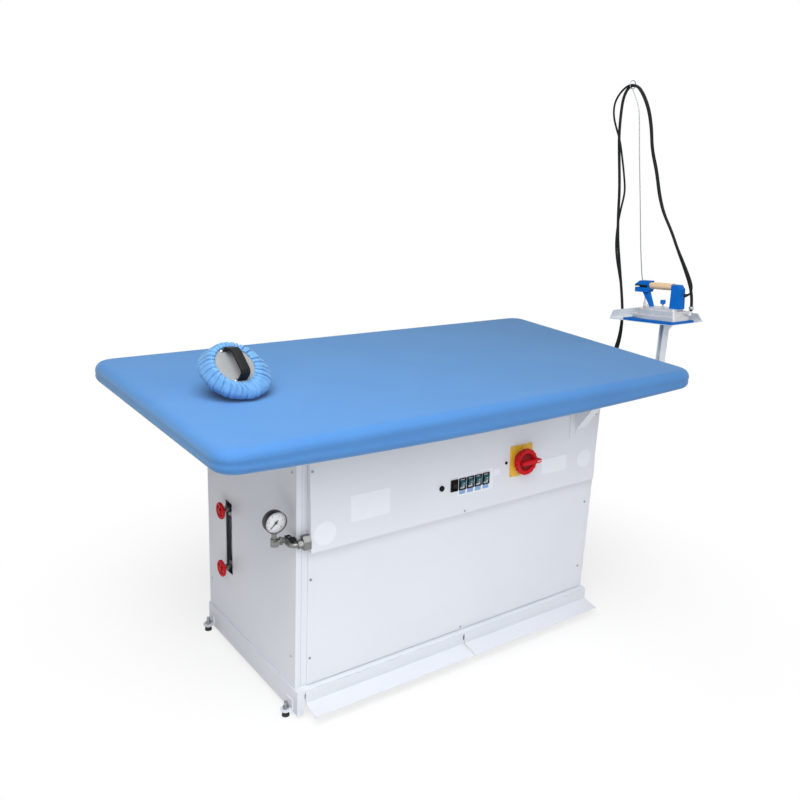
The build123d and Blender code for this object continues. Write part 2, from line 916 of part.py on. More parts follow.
# Main isolator: yellow plate with the switch block behind it, and the red knob
isolator_depth = 40
with BuildPart() as isolator_plate:
    with BuildSketch(face_plane(isolator_x, isolator_height)):
        RectangleRounded(isolator_plate_wide, isolator_plate_high, 3)
    extrude(amount=3)
    with BuildSketch(face_plane(isolator_x, isolator_height)):
        Circle(15.5)
    extrude(amount=-12)
    with BuildSketch(face_plane(isolator_x, isolator_height).offset(-12)):
        Rectangle(50, 56)
    extrude(amount=-isolator_depth)
    with BuildSketch(face_plane(isolator_x, isolator_height).offset(3)):
        Circle(isolator_shaft + shaft_play)
    extrude(amount=-20, mode=Mode.SUBTRACT)
isolator_plate.part.label = "isolator_plate"
export_step(isolator_plate.part, "parts/isolator_plate.step")

knob_base = face_plane(isolator_x, isolator_height).offset(3 + soft_gap)
with BuildPart() as isolator_knob:
    with BuildSketch(knob_base):
        Circle(isolator_knob_radius * 0.72)
    extrude(amount=isolator_skirt)
    knurl = 16
    with BuildSketch(knob_base.offset(isolator_skirt)):
        Circle(isolator_knob_radius)
        with PolarLocations(isolator_knob_radius + 1.5, knurl):
            Circle(3.2, mode=Mode.SUBTRACT)
    extrude(amount=isolator_rim)
    with BuildSketch(knob_base.offset(isolator_skirt + isolator_rim)):
        Circle(isolator_knob_radius * 0.66)
    extrude(amount=-4, mode=Mode.SUBTRACT)
    with BuildSketch(knob_base.offset(isolator_skirt + isolator_rim - 4)):
        with Locations((isolator_knob_radius * 0.3, 0)):
            SlotOverall(isolator_knob_radius * 1.9, 14)
    extrude(amount=isolator_knob_deep - isolator_skirt - isolator_rim + 4)
    with BuildSketch(knob_base):
        Circle(isolator_shaft)
    extrude(amount=-18)
isolator_knob.part.label = "isolator_knob"
export_step(isolator_knob.part, "parts/isolator_knob.step")

# Boiler with its bosses, legs and heater flange
heater_face = boiler_y - boiler_radius - 18
with BuildPart() as boiler:
    with BuildSketch(Plane.XY.offset(boiler_low)):
        with Locations((boiler_x, boiler_y)):
            Circle(boiler_radius)
    extrude(amount=boiler_high - boiler_low)
    fillet(boiler.edges().filter_by(GeomType.CIRCLE), 30)
    for z in (valve_low, valve_high):
        with BuildSketch(Plane.YZ.offset(boiler_x - boiler_radius - boss_length)):
            with Locations((boiler_y, z)):
                Circle(boss_radius)
        extrude(amount=boss_length + boiler_radius / 3)
    with BuildSketch(Plane.XZ.offset(boiler_radius + 18 - boiler_y)):
        with Locations((boiler_x, heater_height)):
            Circle(52)
    extrude(amount=-18 - boiler_radius / 2)
    with BuildSketch(Plane.XY.offset(plinth_top)):
        with Locations((boiler_x, boiler_y)):
            with PolarLocations(78, 4, start_angle=45):
                Rectangle(16, 16)
    extrude(amount=boiler_low + 20 - plinth_top)
    with BuildSketch(Plane.XY.offset(boiler_high - 20)):
        with Locations((boiler_x + 40, boiler_y), (boiler_x - 40, boiler_y)):
            Circle(boss_radius)
        with Locations((boiler_x, boiler_y + 45)):
            Circle(boss_radius)
    extrude(amount=20 + boss_length)
    with BuildSketch(Plane.XZ.offset(-heater_face)):
        with Locations((boiler_x, heater_height)):
            Circle(58)
    extrude(amount=10)
    with BuildSketch(Plane.XZ.offset(-heater_face + 10)):
        with Locations((boiler_x, heater_height)):
            Circle(36)
    extrude(amount=45)
    fillet(boiler.faces().sort_by(Axis.Y)[0].edges(), 5)
boiler.part.label = "boiler"
export_step(boiler.part, "parts/boiler.step")

# Level gauge: two cocks on the boiler, the glass between them and a handwheel on each
glass_x = board_x - glass_offset
cock_start = boiler_x - boiler_radius - boss_length
cock_end = board_x - wheel_offset + 14
with BuildPart() as level_valves:
    for z, inward in ((valve_high, -1), (valve_low, 1)):
        with BuildSketch(Plane.YZ.offset(cock_end)):
            with Locations((boiler_y, z)):
                Circle(valve_radius)
        extrude(amount=cock_start - cock_end)
        with BuildSketch(Plane.XY.offset(z)):
            with Locations((glass_x, boiler_y)):
                Circle(valve_radius - 0.5)
        extrude(amount=inward * 20)
        with BuildSketch(Plane.YZ.offset(cock_end)):
            with Locations((boiler_y, z)):
                Circle(stem_radius + shaft_play)
        extrude(amount=14, mode=Mode.SUBTRACT)
level_valves.part.label = "level_valves"
export_step(level_valves.part, "parts/level_valves.step")


# Handwheel with its rim, spokes, hub and stem
def handwheel(height):
    centre = board_x - wheel_offset
    with BuildPart() as wheel:
        rim_plane = Plane(origin=(centre, boiler_y, height), x_dir=(0, 1, 0), z_dir=(-1, 0, 0))
        with BuildSketch(Plane(origin=rim_plane.origin, x_dir=(0, 1, 0), z_dir=(0, 0, 1))):
            with Locations((wheel_radius - wheel_rim, 0)):
                Circle(wheel_rim)
        revolve(axis=Axis((centre, boiler_y, height), (1, 0, 0)), revolution_arc=360)
        with BuildSketch(rim_plane.offset(-6)):
            Circle(8)
        extrude(amount=12)
        with BuildSketch(rim_plane.offset(-2.5)):
            with PolarLocations(wheel_radius / 2 - 1, 4):
                Rectangle(wheel_radius - 6, 6)
        extrude(amount=5)
        with BuildSketch(rim_plane.offset(-6)):
            Circle(stem_radius)
        extrude(amount=centre + 6 - cock_end - 12)
    return wheel.part


upper_handwheel = handwheel(valve_high)
upper_handwheel.label = "upper_handwheel"
export_step(upper_handwheel, "parts/upper_handwheel.step")

lower_handwheel = handwheel(valve_low)
lower_handwheel.label = "lower_handwheel"
export_step(lower_handwheel, "parts/lower_handwheel.step")


def tube(points, bends, radius):
    """A round tube along straight runs joined by tangent arcs."""
    with BuildPart() as pipe:
        with BuildLine() as route:
            FilletPolyline(*points, radius=bends)
        with BuildSketch(Plane(origin=route.line @ 0, z_dir=route.line % 0)):
            Circle(radius)
        sweep(path=route.line)
    return pipe.part, sum(edge.length for edge in route.edges())


# Copper pipes: steam to the hose, steam to the gauge, water from the pump
solenoid_x = boiler_x + 40
boss_top = boiler_high + boss_length
pump_x = board_x - 150
pump_y = -180
steam_line = [
    (solenoid_x, boiler_y, boss_top + 34),
    (solenoid_x, boiler_y, gland_height),
    (solenoid_x, boiler_y + 66, gland_height),
    (cabinet_right - 60, boiler_y + 66, gland_height),
    (cabinet_right - 60, hose_gland_y, gland_height),
    (cabinet_right - panel_sheet, hose_gland_y, gland_height),
]
gauge_line = [
    (boiler_x - 40, boiler_y, boss_top),
    (boiler_x - 40, boiler_y, boss_top + 35),
    (boiler_x - 40, pipe_y + 60, boss_top + 35),
    (boiler_x - 40, pipe_y + 10, pipe_height + 30),
    (boiler_x - 40, pipe_y + 10, pipe_height),
    (box_left + panel_sheet, pipe_y + 10, pipe_height),
]
water_line = [
    (pump_x - 55, pump_y, plinth_top + 70),
    (pump_x - 90, pump_y, plinth_top + 70),
    (pump_x - 90, boiler_y, plinth_top + 100),
    (boiler_x + boiler_radius + 0.2, boiler_y, plinth_top + 100),
]
steam_pipe, steam_length = tube(steam_line, 18, 5)
gauge_pipe, gauge_length = tube(gauge_line, 12, 4)
water_pipe, water_length = tube(water_line, 14, 5)

# Boiler fittings: solenoid valve, safety valve and the pipes
with BuildPart() as boiler_fittings:
    with BuildSketch(Plane.XY.offset(boss_top)):
        with Locations((solenoid_x, boiler_y)):
            Rectangle(34, 34)
    extrude(amount=34)
    with BuildSketch(Plane.YZ.offset(solenoid_x + 17)):
        with Locations((boiler_y, boss_top + 17)):
            Circle(17)
    extrude(amount=42)
    with BuildSketch(Plane.XY.offset(boss_top)):
        with Locations((boiler_x, boiler_y + 45)):
            Circle(12)
    extrude(amount=54)
    with BuildSketch(Plane.XY.offset(boss_top + 54)):
        with Locations((boiler_x, boiler_y + 45)):
            Circle(8)
    extrude(amount=12)
    add(steam_pipe)
    add(gauge_pipe)
    add(water_pipe)
boiler_fittings.part.label = "boiler_fittings"
export_step(boiler_fittings.part, "parts/boiler_fittings.step")

# Feed pump on the floor plate
with BuildPart() as feed_pump:
    add(bar(pump_x - 55, pump_y - 40, plinth_top, 110, 80, 100))
    with BuildSketch(Plane.YZ.offset(pump_x + 55)):
        with Locations((pump_y, plinth_top + 55)):
            Circle(38)
    extrude(amount=95)
    fillet(feed_pump.faces().sort_by(Axis.X)[-1].edges(), 8)
feed_pump.part.label = "feed_pump"
export_step(feed_pump.part, "parts/feed_pump.step")

# Gauge pipework round the cabinet's front left corner
corner_x = board_x - corner_offset
tee_x = board_x - tee_offset
block_long = 22
block_front = pipe_y - 8
block_back = box_back - 6
union_x = corner_x + 11
nut_x = tee_x + 14
corner_route = [
    (box_left - block_long / 2, pipe_y, pipe_height),
    (corner_x, pipe_y, pipe_height),
    (corner_x, branch_y, pipe_height),
    (tee_x, branch_y, pipe_height),
]
corner_pipe, corner_length = tube(corner_route, 10, 8)
with BuildPart() as gauge_pipework:
    add(corner_pipe)
    with BuildSketch(Plane.YZ.offset(box_left - block_long)):
        with BuildLine():
            Polyline(
                (block_front, pipe_height - 18),
                (block_back, pipe_height - 18),
                (block_back, pipe_height + 18),
                (block_front + 8, pipe_height + 18),
                (block_front, pipe_height + 4),
                close=True,
            )
        make_face()
    extrude(amount=block_long)
    with BuildSketch(Plane.YZ.offset(union_x)):
        with Locations((pipe_y, pipe_height)):
            RegularPolygon(12, 6)
    extrude(amount=12)
    with BuildSketch(Plane.YZ.offset(nut_x)):
        with Locations((branch_y, pipe_height)):
            RegularPolygon(11, 6)
    extrude(amount=8)
    with BuildSketch(Plane.XZ.offset(-pipe_y - 12)):
        with Locations((corner_x, pipe_height)):
            RegularPolygon(11.5, 8)
    extrude(amount=-18)
    with BuildSketch(Plane.XY.offset(pipe_height - 10)):
        with Locations((tee_x, branch_y)):
            Circle(9.5)
    extrude(amount=21)
    with BuildSketch(Plane.XZ.offset(-branch_y)):
        with Locations((tee_x, pipe_height)):
            Circle(8.5)
    extrude(amount=15)
    with BuildSketch(Plane.XY.offset(pipe_height)):
        with Locations((tee_x, branch_y)):
            RegularPolygon(7.5, 6)
    extrude(amount=gauge_height - gauge_radius - pipe_height - 0.05)
    with BuildSketch(Plane.XY.offset(pipe_height)):
        with Locations((corner_x, lever_y)):
            Circle(4)
    extrude(amount=16)
    with BuildSketch(Plane.XY.offset(pipe_height)):
        with Locations((corner_x, lever_y)):
            Circle(7)
    extrude(amount=12.5)
gauge_pipework.part.label = "gauge_pipework"
export_step(gauge_pipework.part, "parts/gauge_pipework.step")

with BuildPart() as valve_lever:
    with BuildSketch(Plane.XY.offset(pipe_height + 12.8)):
        with Locations((corner_x, lever_y)):
            Circle(7)
        with Locations((corner_x, lever_y - (lever_long - 14) / 2)):
            Rectangle(lever_wide, lever_long + 14)
    extrude(amount=3)
    with BuildSketch(Plane.XY.offset(pipe_height + 12.8 + 3)):
        with Locations((corner_x, lever_y - lever_long + 6)):
            Rectangle(lever_wide, 14)
    extrude(amount=5)
    with BuildSketch(Plane.XY.offset(pipe_height + 12)):
        with Locations((corner_x, lever_y)):
            Circle(4 + shaft_play)
    extrude(amount=10, mode=Mode.SUBTRACT)
valve_lever.part.label = "valve_lever"
export_step(valve_lever.part, "parts/valve_lever.step")

# Pressure gauge: case with dial, needle and lens
dial_depth = 8
with BuildPart() as gauge_case:
    with BuildSketch(Plane.XZ.offset(-gauge_front)):
        with Locations((tee_x, gauge_height)):
            Circle(gauge_radius)
    extrude(amount=-gauge_deep)
    fillet(gauge_case.faces().sort_by(Axis.Y)[-1].edges(), 4)
    with BuildSketch(Plane.XZ.offset(-gauge_front)):
        with Locations((tee_x, gauge_height)):
            Circle(gauge_radius - gauge_wall)
    extrude(amount=-dial_depth, mode=Mode.SUBTRACT)
    with BuildSketch(Plane.XZ.offset(-gauge_front - dial_depth)):
        with Locations((tee_x, gauge_height)):
            Circle(1.5)
    extrude(amount=3.6)
gauge_case.part.label = "gauge_case"
export_step(gauge_case.part, "parts/gauge_case.step")

needle_rest = 225        # degrees anticlockwise from three o'clock
needle_plane = Plane(
    origin=(tee_x, gauge_front + dial_depth - 1.4, gauge_height),
    x_dir=(cos(radians(needle_rest)), 0, sin(radians(needle_rest))),
    z_dir=(0, -1, 0),
)
with BuildPart() as gauge_needle:
    with BuildSketch(needle_plane):
        with BuildLine():
            Polyline((-8, -1.5), (-8, 1.5), (0, 2), (21, 0.5), (21, -0.5), (0, -2), close=True)
        make_face()
        Circle(4)
        Circle(1.5 + shaft_play, mode=Mode.SUBTRACT)
    extrude(amount=1)
gauge_needle.part.label = "gauge_needle"
export_step(gauge_needle.part, "parts/gauge_needle.step")

# Glasses: the level gauge's tube and the pressure gauge's lens
with BuildPart() as gauge_glasses:
    with BuildSketch(Plane.XY.offset(valve_low + 20)):
        with Locations((glass_x, boiler_y)):
            Circle(glass_radius)
            Circle(glass_radius - 2, mode=Mode.SUBTRACT)
    extrude(amount=valve_high - valve_low - 40)
    with BuildSketch(Plane.XZ.offset(-gauge_front - 1)):
        with Locations((tee_x, gauge_height)):
            Circle(gauge_radius - gauge_wall)
    extrude(amount=-2)
gauge_glasses.part.label = "gauge_glasses"
export_step(gauge_glasses.part, "parts/gauge_glasses.step")

# Suction duct from the board down to the fan
with BuildPart() as suction_duct:
    with BuildSketch(Plane.XY.offset(fan_top)):
        with Locations((fan_x, fan_y)):
            Circle(duct_radius)
    extrude(amount=shell_low - soft_gap - fan_top)
    with BuildSketch(Plane.XY.offset(shell_low - soft_gap)):
        with Locations((fan_x, fan_y)):
            Circle(duct_radius + 20)
    extrude(amount=-3)
    with BuildSketch(Plane.XY.offset(fan_top - 1)):
        with Locations((fan_x, fan_y)):
            Circle(duct_radius - duct_wall)
    extrude(amount=shell_low - fan_top + 2, mode=Mode.SUBTRACT)
suction_duct.part.label = "suction_duct"
export_step(suction_duct.part, "parts/suction_duct.step")


def scroll(inset):
    """Plan of the fan's scroll and its outlet, smaller by inset."""
    with BuildSketch() as plan:
        with Locations((fan_x, fan_y)):
            Circle(fan_radius - inset)
        with Locations((grille_x, (cabinet_back + fan_y) / 2 + inset)):
            Rectangle(150 - 2 * inset, cabinet_back - fan_y)
        with Locations((grille_x, cabinet_back + 60)):
            Rectangle(400, 120, mode=Mode.SUBTRACT)
    return plan.sketch


scroll_outer = scroll(0)
scroll_inner = scroll(panel_sheet)
leg_places = ((-120, -90), (-120, 90), (120, -90), (120, 90))
with BuildPart() as fan_housing:
    with BuildSketch(Plane.XY.offset(fan_bottom)):
        add(scroll_outer)
    extrude(amount=fan_top - fan_bottom)
    with BuildSketch(Plane.XY.offset(fan_bottom + panel_sheet)):
        add(scroll_inner)
        with Locations((grille_x, cabinet_back)):
            Rectangle(150 - 2 * panel_sheet, 20)
    extrude(amount=fan_top - fan_bottom - 2 * panel_sheet, mode=Mode.SUBTRACT)
    with BuildSketch(Plane.XY.offset(fan_top + 1)):
        with Locations((fan_x, fan_y)):
            Circle(duct_radius - duct_wall)
    extrude(amount=-10, mode=Mode.SUBTRACT)
    with BuildSketch(Plane.XY.offset(fan_bottom - 1)):
        with Locations((fan_x, fan_y)):
            Circle(25)
    extrude(amount=10, mode=Mode.SUBTRACT)
    with BuildSketch(Plane.XY.offset(plinth_top)):
        with Locations(*[(fan_x + x, fan_y + y) for x, y in leg_places]):
            Rectangle(20, 20)
    extrude(amount=fan_bottom - plinth_top)
fan_housing.part.label = "fan_housing"
export_step(fan_housing.part, "parts/fan_housing.step")

impeller_low = fan_bottom + panel_sheet + impeller_play
blade_high = fan_top - panel_sheet - impeller_play - impeller_low - 3
with BuildPart() as fan_impeller:
    with BuildSketch(Plane.XY.offset(impeller_low)):
        with Locations((fan_x, fan_y)):
            Circle(impeller_radius)
    extrude(amount=3)
    with BuildSketch(Plane.XY.offset(impeller_low)):
        with Locations((fan_x, fan_y)):
            Circle(22)
    extrude(amount=30)
    with BuildSketch(Plane.XY.offset(impeller_low + 3)):
        with Locations((fan_x, fan_y)):
            with PolarLocations(impeller_radius - 20, blade_count):
                Rectangle(32, 2.5, rotation=35)
    extrude(amount=blade_high)
    with BuildSketch(Plane.XY.offset(impeller_low + 3 + blade_high)):
        with Locations((fan_x, fan_y)):
            Circle(impeller_radius)
            Circle(impeller_radius - 36, mode=Mode.SUBTRACT)
    extrude(amount=-3)
    with BuildSketch(Plane.XY.offset(impeller_low)):
        with Locations((fan_x, fan_y)):
            Circle(motor_shaft)
    extrude(amount=-60)
fan_impeller.part.label = "fan_impeller"
export_step(fan_impeller.part, "parts/fan_impeller.step")

with BuildPart() as fan_motor:
    with BuildSketch(Plane.XY.offset(motor_low)):
        with Locations((fan_x, fan_y)):
            Circle(motor_radius)
            with PolarLocations(motor_radius, 24):
                Rectangle(5, 3)
    extrude(amount=fan_bottom - motor_low - 10)
    with BuildSketch(Plane.XY.offset(fan_bottom)):
        with Locations((fan_x, fan_y)):
            Circle(motor_radius + 15)
    extrude(amount=-10)
    with BuildSketch(Plane.XY.offset(fan_bottom + 1)):
        with Locations((fan_x, fan_y)):
            Circle(motor_shaft + shaft_play)
    extrude(amount=-70, mode=Mode.SUBTRACT)
fan_motor.part.label = "fan_motor"
export_step(fan_motor.part, "parts/fan_motor.step")

# Electrical box on the right side panel, and the switches that the pedals close
switch_size = (40, 22, 26)
with BuildPart() as switchgear:
    add(bar(cabinet_right - panel_sheet - 110, -160, 380, 110, 220, 220))
    fillet(switchgear.edges().filter_by(Axis.Y), 6)
    for span in (left_pedal_span, right_pedal_span):
        centre = (sum(span) / 2, pedal_axis_y + 30)
        with BuildSketch(Plane.XY.offset(plinth_top - plinth_sheet)):
            with Locations(centre):
                Rectangle(switch_size[0], switch_size[1])
        extrude(amount=-switch_size[2])
        with BuildSketch(Plane.XY.offset(plinth_top - plinth_sheet - switch_size[2])):
            with Locations(centre):
                Circle(3)
        extrude(amount=-4)
switchgear.part.label = "switchgear"
export_step(switchgear.part, "parts/switchgear.step")

# Iron rest: channel post, its arm to the cabinet and a gusset under the tray
post_left = board_x + post_near
post_right = post_left + rest_post_wide
rest_post_front = rest_post_back - rest_post_deep
post_middle = (rest_post_front + rest_post_back) / 2
tray_floor = tray_plane()
with BuildPart() as rest_post:
    with BuildSketch(Plane.XY.offset(arm_low)):
        with BuildLine():
            Polyline(
                (post_left, rest_post_front),
                (post_right, rest_post_front),
                (post_right, rest_post_back),
                (post_left, rest_post_back),
                (post_left, rest_post_back - rest_wall),
                (post_right - rest_wall, rest_post_back - rest_wall),
                (post_right - rest_wall, rest_post_front + rest_wall),
                (post_left, rest_post_front + rest_wall),
                close=True,
            )
        make_face()
    extrude(amount=tray_front[1] - arm_low)
    with BuildSketch(Plane.XZ.offset(-post_middle)):
        with BuildLine():
            Polyline(
                (post_right, tray_front[1]),
                (post_right + 35, tray_front[1]),
                (post_right + 35, tray_front[1] - 20),
                (post_right, tray_front[1] - 48),
                close=True,
            )
        make_face()
    extrude(amount=1.5, both=True)
    add(bar(
        cabinet_right, post_middle - 20, arm_low,
        post_right - rest_wall - cabinet_right, 40, rest_wall,
    ))
    add(bar(
        cabinet_right, post_middle - 20, arm_high - rest_wall,
        post_left - cabinet_right, 40, rest_wall,
    ))
    for y in (post_middle - 20, post_middle + 20 - rest_wall):
        add(bar(cabinet_right, y, arm_low, post_left - cabinet_right, rest_wall, arm_high - arm_low))
    for y in (rest_post_front - 11, rest_post_back):
        add(bar(post_left, y, arm_low, rest_post_wide, 11, arm_high - arm_low))
    add(bar(cabinet_right, post_middle - 24, arm_low - 20, 5, 72, 55))
    with BuildSketch(tray_floor):
        Rectangle(2 * tray_reach, 4 * tray_length)
    extrude(amount=100, mode=Mode.SUBTRACT)
rest_post.part.label = "rest_post"
export_step(rest_post.part, "parts/rest_post.step")

# Tray with a lip at the back and on the far side, and the rod's socket
with BuildPart() as rest_tray:
    with BuildSketch(tray_floor):
        with BuildLine():
            Polyline(
                (0, 0), (tray_width, 0), (tray_width, tray_length), (0, tray_length), close=True
            )
        make_face()
    extrude(amount=tray_sheet)
    back_wall = Plane(
        origin=tray_plane(along=tray_length).origin, x_dir=(1, 0, 0), z_dir=tray_floor.y_dir
    )
    with BuildSketch(back_wall):
        with BuildLine():
            Polyline(
                (0, 0), (tray_width, 0), (tray_width, -back_lip), (19, -back_lip), close=True
            )
        make_face()
    extrude(amount=-tray_sheet)
    with BuildSketch(tray_side(tray_width)):
        with BuildLine():
            Polyline(
                (0, 0), (tray_length, 0), (tray_length, far_lip), (22, far_lip), close=True
            )
        make_face()
    extrude(amount=-tray_sheet)
    with BuildSketch(tray_plane(up=tray_sheet)):
        with Locations(socket_at):
            Circle(socket_radius)
            Circle(rod_radius + shaft_play, mode=Mode.SUBTRACT)
    extrude(amount=socket_high)
    with BuildSketch(tray_plane(up=tray_sheet)):
        with Locations(spring_at):
            Circle(spring_pin)
    extrude(amount=spring_pitch * spring_turns + 4)
rest_tray.part.label = "rest_tray"
export_step(rest_tray.part, "parts/rest_tray.step")

with BuildPart() as rest_mat:
    with BuildSketch(tray_plane(up=tray_sheet)):
        with Locations((mat_wide / 2, mat_long / 2)):
            RectangleRounded(mat_wide, mat_long, 4)
    extrude(amount=mat_thick)
rest_mat.part.label = "rest_mat"
export_step(rest_mat.part, "parts/rest_mat.step")

# Hose rod: a whip of spring steel from the socket to the ring round the hose
socket_foot = tray_plane(up=tray_sheet + 2)
rod_foot = socket_foot.from_local_coords((socket_at[0], socket_at[1], 0))
rod_knee = socket_foot.from_local_coords((socket_at[0], socket_at[1], socket_high + 32))
rod_points = [
    (rod_foot.X, rod_foot.Y, rod_foot.Z),
    (rod_knee.X, rod_knee.Y, rod_knee.Z),
    (board_x + 936, -78, 1110),
    (board_x + 919, -70, 1210),
    (board_x + 899, -60, 1370),
    (board_x + 884, -40, 1552),
    (board_x + 877, -24, 1690),
    (ring_centre[0], ring_centre[1], ring_centre[2] - ring_inner - ring_wire),
]


def corner_radii(points, share=0.45):
    """Bend radius at each inner point, as large as its two runs allow."""
    radii = []
    for before, corner, after in zip(points, points[1:], points[2:]):
        first = Vector(*corner) - Vector(*before)
        second = Vector(*after) - Vector(*corner)
        half_turn = radians(first.get_angle(second)) / 2
        radii.append(share * min(first.length, second.length) / tan(half_turn))
    return radii


rod_bar, rod_length = tube(rod_points, corner_radii(rod_points), rod_radius)
with BuildPart() as hose_rod:
    add(rod_bar)
    with BuildSketch(Plane.XY.offset(ring_centre[2])):
        with Locations((ring_centre[0] + ring_inner + ring_wire, ring_centre[1])):
            Circle(ring_wire)
    revolve(axis=Axis(ring_centre, (0, 1, 0)), revolution_arc=360)
hose_rod.part.label = "hose_rod"
export_step(hose_rod.part, "parts/hose_rod.step")

# Coil spring beside the socket: each quarter turn is a pair of tangent arcs
spring_base = tray_plane(up=tray_sheet + spring_wire + 0.1)


def helix_point(quarter):
    angle = quarter * pi / 2
    return Vector(
        spring_at[0] + spring_radius * cos(angle),
        spring_at[1] + spring_radius * sin(angle),
        spring_pitch * quarter / 4,
    )


def helix_tangent(quarter):
    angle = quarter * pi / 2
    rise = spring_pitch / (2 * pi)
    return Vector(-spring_radius * sin(angle), spring_radius * cos(angle), rise).normalized()


def biarc_reach(start, finish, go, come):
    """Length of the equal tangent legs that join two ends by two arcs."""
    span = finish - start
    both = go + come
    a = both.dot(both) - 4
    b = -2 * span.dot(both)
    c = span.dot(span)
    return (-b - sqrt(b * b - 4 * a * c)) / (2 * a)


def to_world(local):
    return spring_base.from_local_coords(local)


with BuildPart() as rod_spring:
    with BuildLine() as coil:
        for quarter in range(4 * spring_turns):
            start, finish = helix_point(quarter), helix_point(quarter + 1)
            go, come = helix_tangent(quarter), helix_tangent(quarter + 1)
            reach = biarc_reach(start, finish, go, come)
            leg_end = start + go * reach
            leg_start = finish - come * reach
            middle = (leg_end + leg_start) * 0.5
            turn = to_world(leg_start) - to_world(leg_end)
            TangentArc(to_world(start), to_world(middle), tangent=to_world(start + go) - to_world(start))
            TangentArc(to_world(middle), to_world(finish), tangent=turn)
    with BuildSketch(Plane(origin=coil.line @ 0, z_dir=coil.line % 0)):
        Circle(spring_wire)
    sweep(path=coil.line)
rod_spring.part.label = "rod_spring"
export_step(rod_spring.part, "parts/rod_spring.step")
print("spring gap between turns", round(spring_pitch - 2 * spring_wire, 2), "mm")


# Iron body: sole plate, grey housing and the steam inlet at the back
def iron_outline(inset, shorter=0):
    half = iron_wide / 2 - inset
    shoulder = iron_tail + 0.45 * (iron_nose - shorter - iron_tail)
    nose = iron_nose - shorter - inset
    tail = iron_tail + inset
    with BuildSketch() as outline:
        with BuildLine():
            Line((iron_centre - half, tail), (iron_centre + half, tail))
            Line((iron_centre + half, tail), (iron_centre + half, shoulder))
            ThreePointArc(
                (iron_centre + half, shoulder),
                (iron_centre + half * 0.66, (shoulder + 1.25 * nose) / 2.25 + 14),
                (iron_centre, nose),
            )
            ThreePointArc(
                (iron_centre, nose),
                (iron_centre - half * 0.66, (shoulder + 1.25 * nose) / 2.25 + 14),
                (iron_centre - half, shoulder),
            )
            Line((iron_centre - half, shoulder), (iron_centre - half, tail))
        make_face()
        fillet(outline.vertices().sort_by(Axis.Y)[0:2], 6)
    return outline.sketch


sole_low = tray_sheet + mat_thick + soft_gap
sole_plan = iron_outline(0)
deck_plan = iron_outline(5, 20)
top_plan = iron_outline(14, 34)
inlet_origin = tray_plane(along=iron_tail, up=iron_deck - 14, across=inlet_across)
inlet_end = tray_plane(along=inlet_along, up=iron_deck - 14, across=inlet_across).origin
with BuildPart() as iron_body:
    with BuildSketch(tray_plane(up=sole_low)):
        add(sole_plan)
    extrude(amount=sole_thick)
    with BuildSketch(tray_plane(up=sole_low + sole_thick)):
        add(deck_plan)
    extrude(amount=iron_deck - 8 - sole_low - sole_thick)
    with BuildSketch(tray_plane(up=iron_deck - 8)):
        add(top_plan)
    extrude(amount=8)
    with BuildSketch(
        Plane(origin=inlet_origin.origin, x_dir=(1, 0, 0), z_dir=-inlet_origin.y_dir)
    ):
        Circle(inlet_radius)
    extrude(amount=iron_tail - inlet_along)
    extrude_back = Plane(origin=inlet_origin.origin, x_dir=(1, 0, 0), z_dir=inlet_origin.y_dir)
    with BuildSketch(extrude_back):
        Circle(inlet_radius)
    extrude(amount=20)
    with BuildSketch(Plane(origin=(inlet_end.X, inlet_end.Y, inlet_end.Z - inlet_radius))):
        Circle(inlet_radius)
    extrude(amount=inlet_top - inlet_end.Z + inlet_radius)
    with BuildSketch(tray_plane(up=iron_deck)):
        with Locations((iron_centre, iron_knob_at)):
            Circle(knob_stem + shaft_play)
    extrude(amount=-15, mode=Mode.SUBTRACT)
iron_body.part.label = "iron_body"
export_step(iron_body.part, "parts/iron_body.step")

# Iron handle: the rear block and the front stanchion, with a slot for the trigger
handle_side = tray_side(iron_centre)
slot_floor = 114
slot_roof = 123
nose_tip = grip_end + 60
slot_end = grip_end + 5
stanchion_foot = grip_end - 2
with BuildPart() as iron_handle:
    with BuildSketch(handle_side):
        with BuildLine():
            Polyline(
                (8, iron_deck),
                (grip_start + 5, iron_deck),
                (grip_start, 105),
                (grip_start, 130),
                (20, 130),
                (8, 117),
                close=True,
            )
        make_face()
        with BuildLine():
            Polyline(
                (grip_end + 6, 98),
                (nose_tip, 98),
                (nose_tip, 124),
                (nose_tip - 20, 137),
                (grip_end, 137),
                (grip_end, 108),
                close=True,
            )
        make_face()
    extrude(amount=handle_half, both=True)
    fillet(iron_handle.edges().filter_by(Axis.X).group_by(Axis.Z)[-1], 4)
    with BuildSketch(handle_side):
        with BuildLine():
            Polyline(
                (stanchion_foot - 8, iron_deck),
                (stanchion_foot, iron_deck),
                (nose_tip - 28, 99),
                (grip_end + 8, 99),
                close=True,
            )
        make_face()
    extrude(amount=stanchion_half, both=True)
    with BuildSketch(handle_side.offset(-handle_half)):
        with BuildLine():
            Polyline(
                (slot_end, slot_floor),
                (nose_tip + 1, slot_floor),
                (nose_tip + 1, slot_roof),
                (slot_end, slot_roof),
                close=True,
            )
        make_face()
    extrude(amount=handle_half + 8, mode=Mode.SUBTRACT)
iron_handle.part.label = "iron_handle"
export_step(iron_handle.part, "parts/iron_handle.step")

with BuildPart() as wood_grip:
    grip_axis = tray_plane(along=grip_start, up=grip_centre, across=iron_centre)
    with BuildSketch(
        Plane(origin=grip_axis.origin, x_dir=(1, 0, 0), z_dir=grip_axis.y_dir)
    ):
        Circle(grip_radius)
    extrude(amount=grip_end - grip_start)
wood_grip.part.label = "wood_grip"
export_step(wood_grip.part, "parts/wood_grip.step")

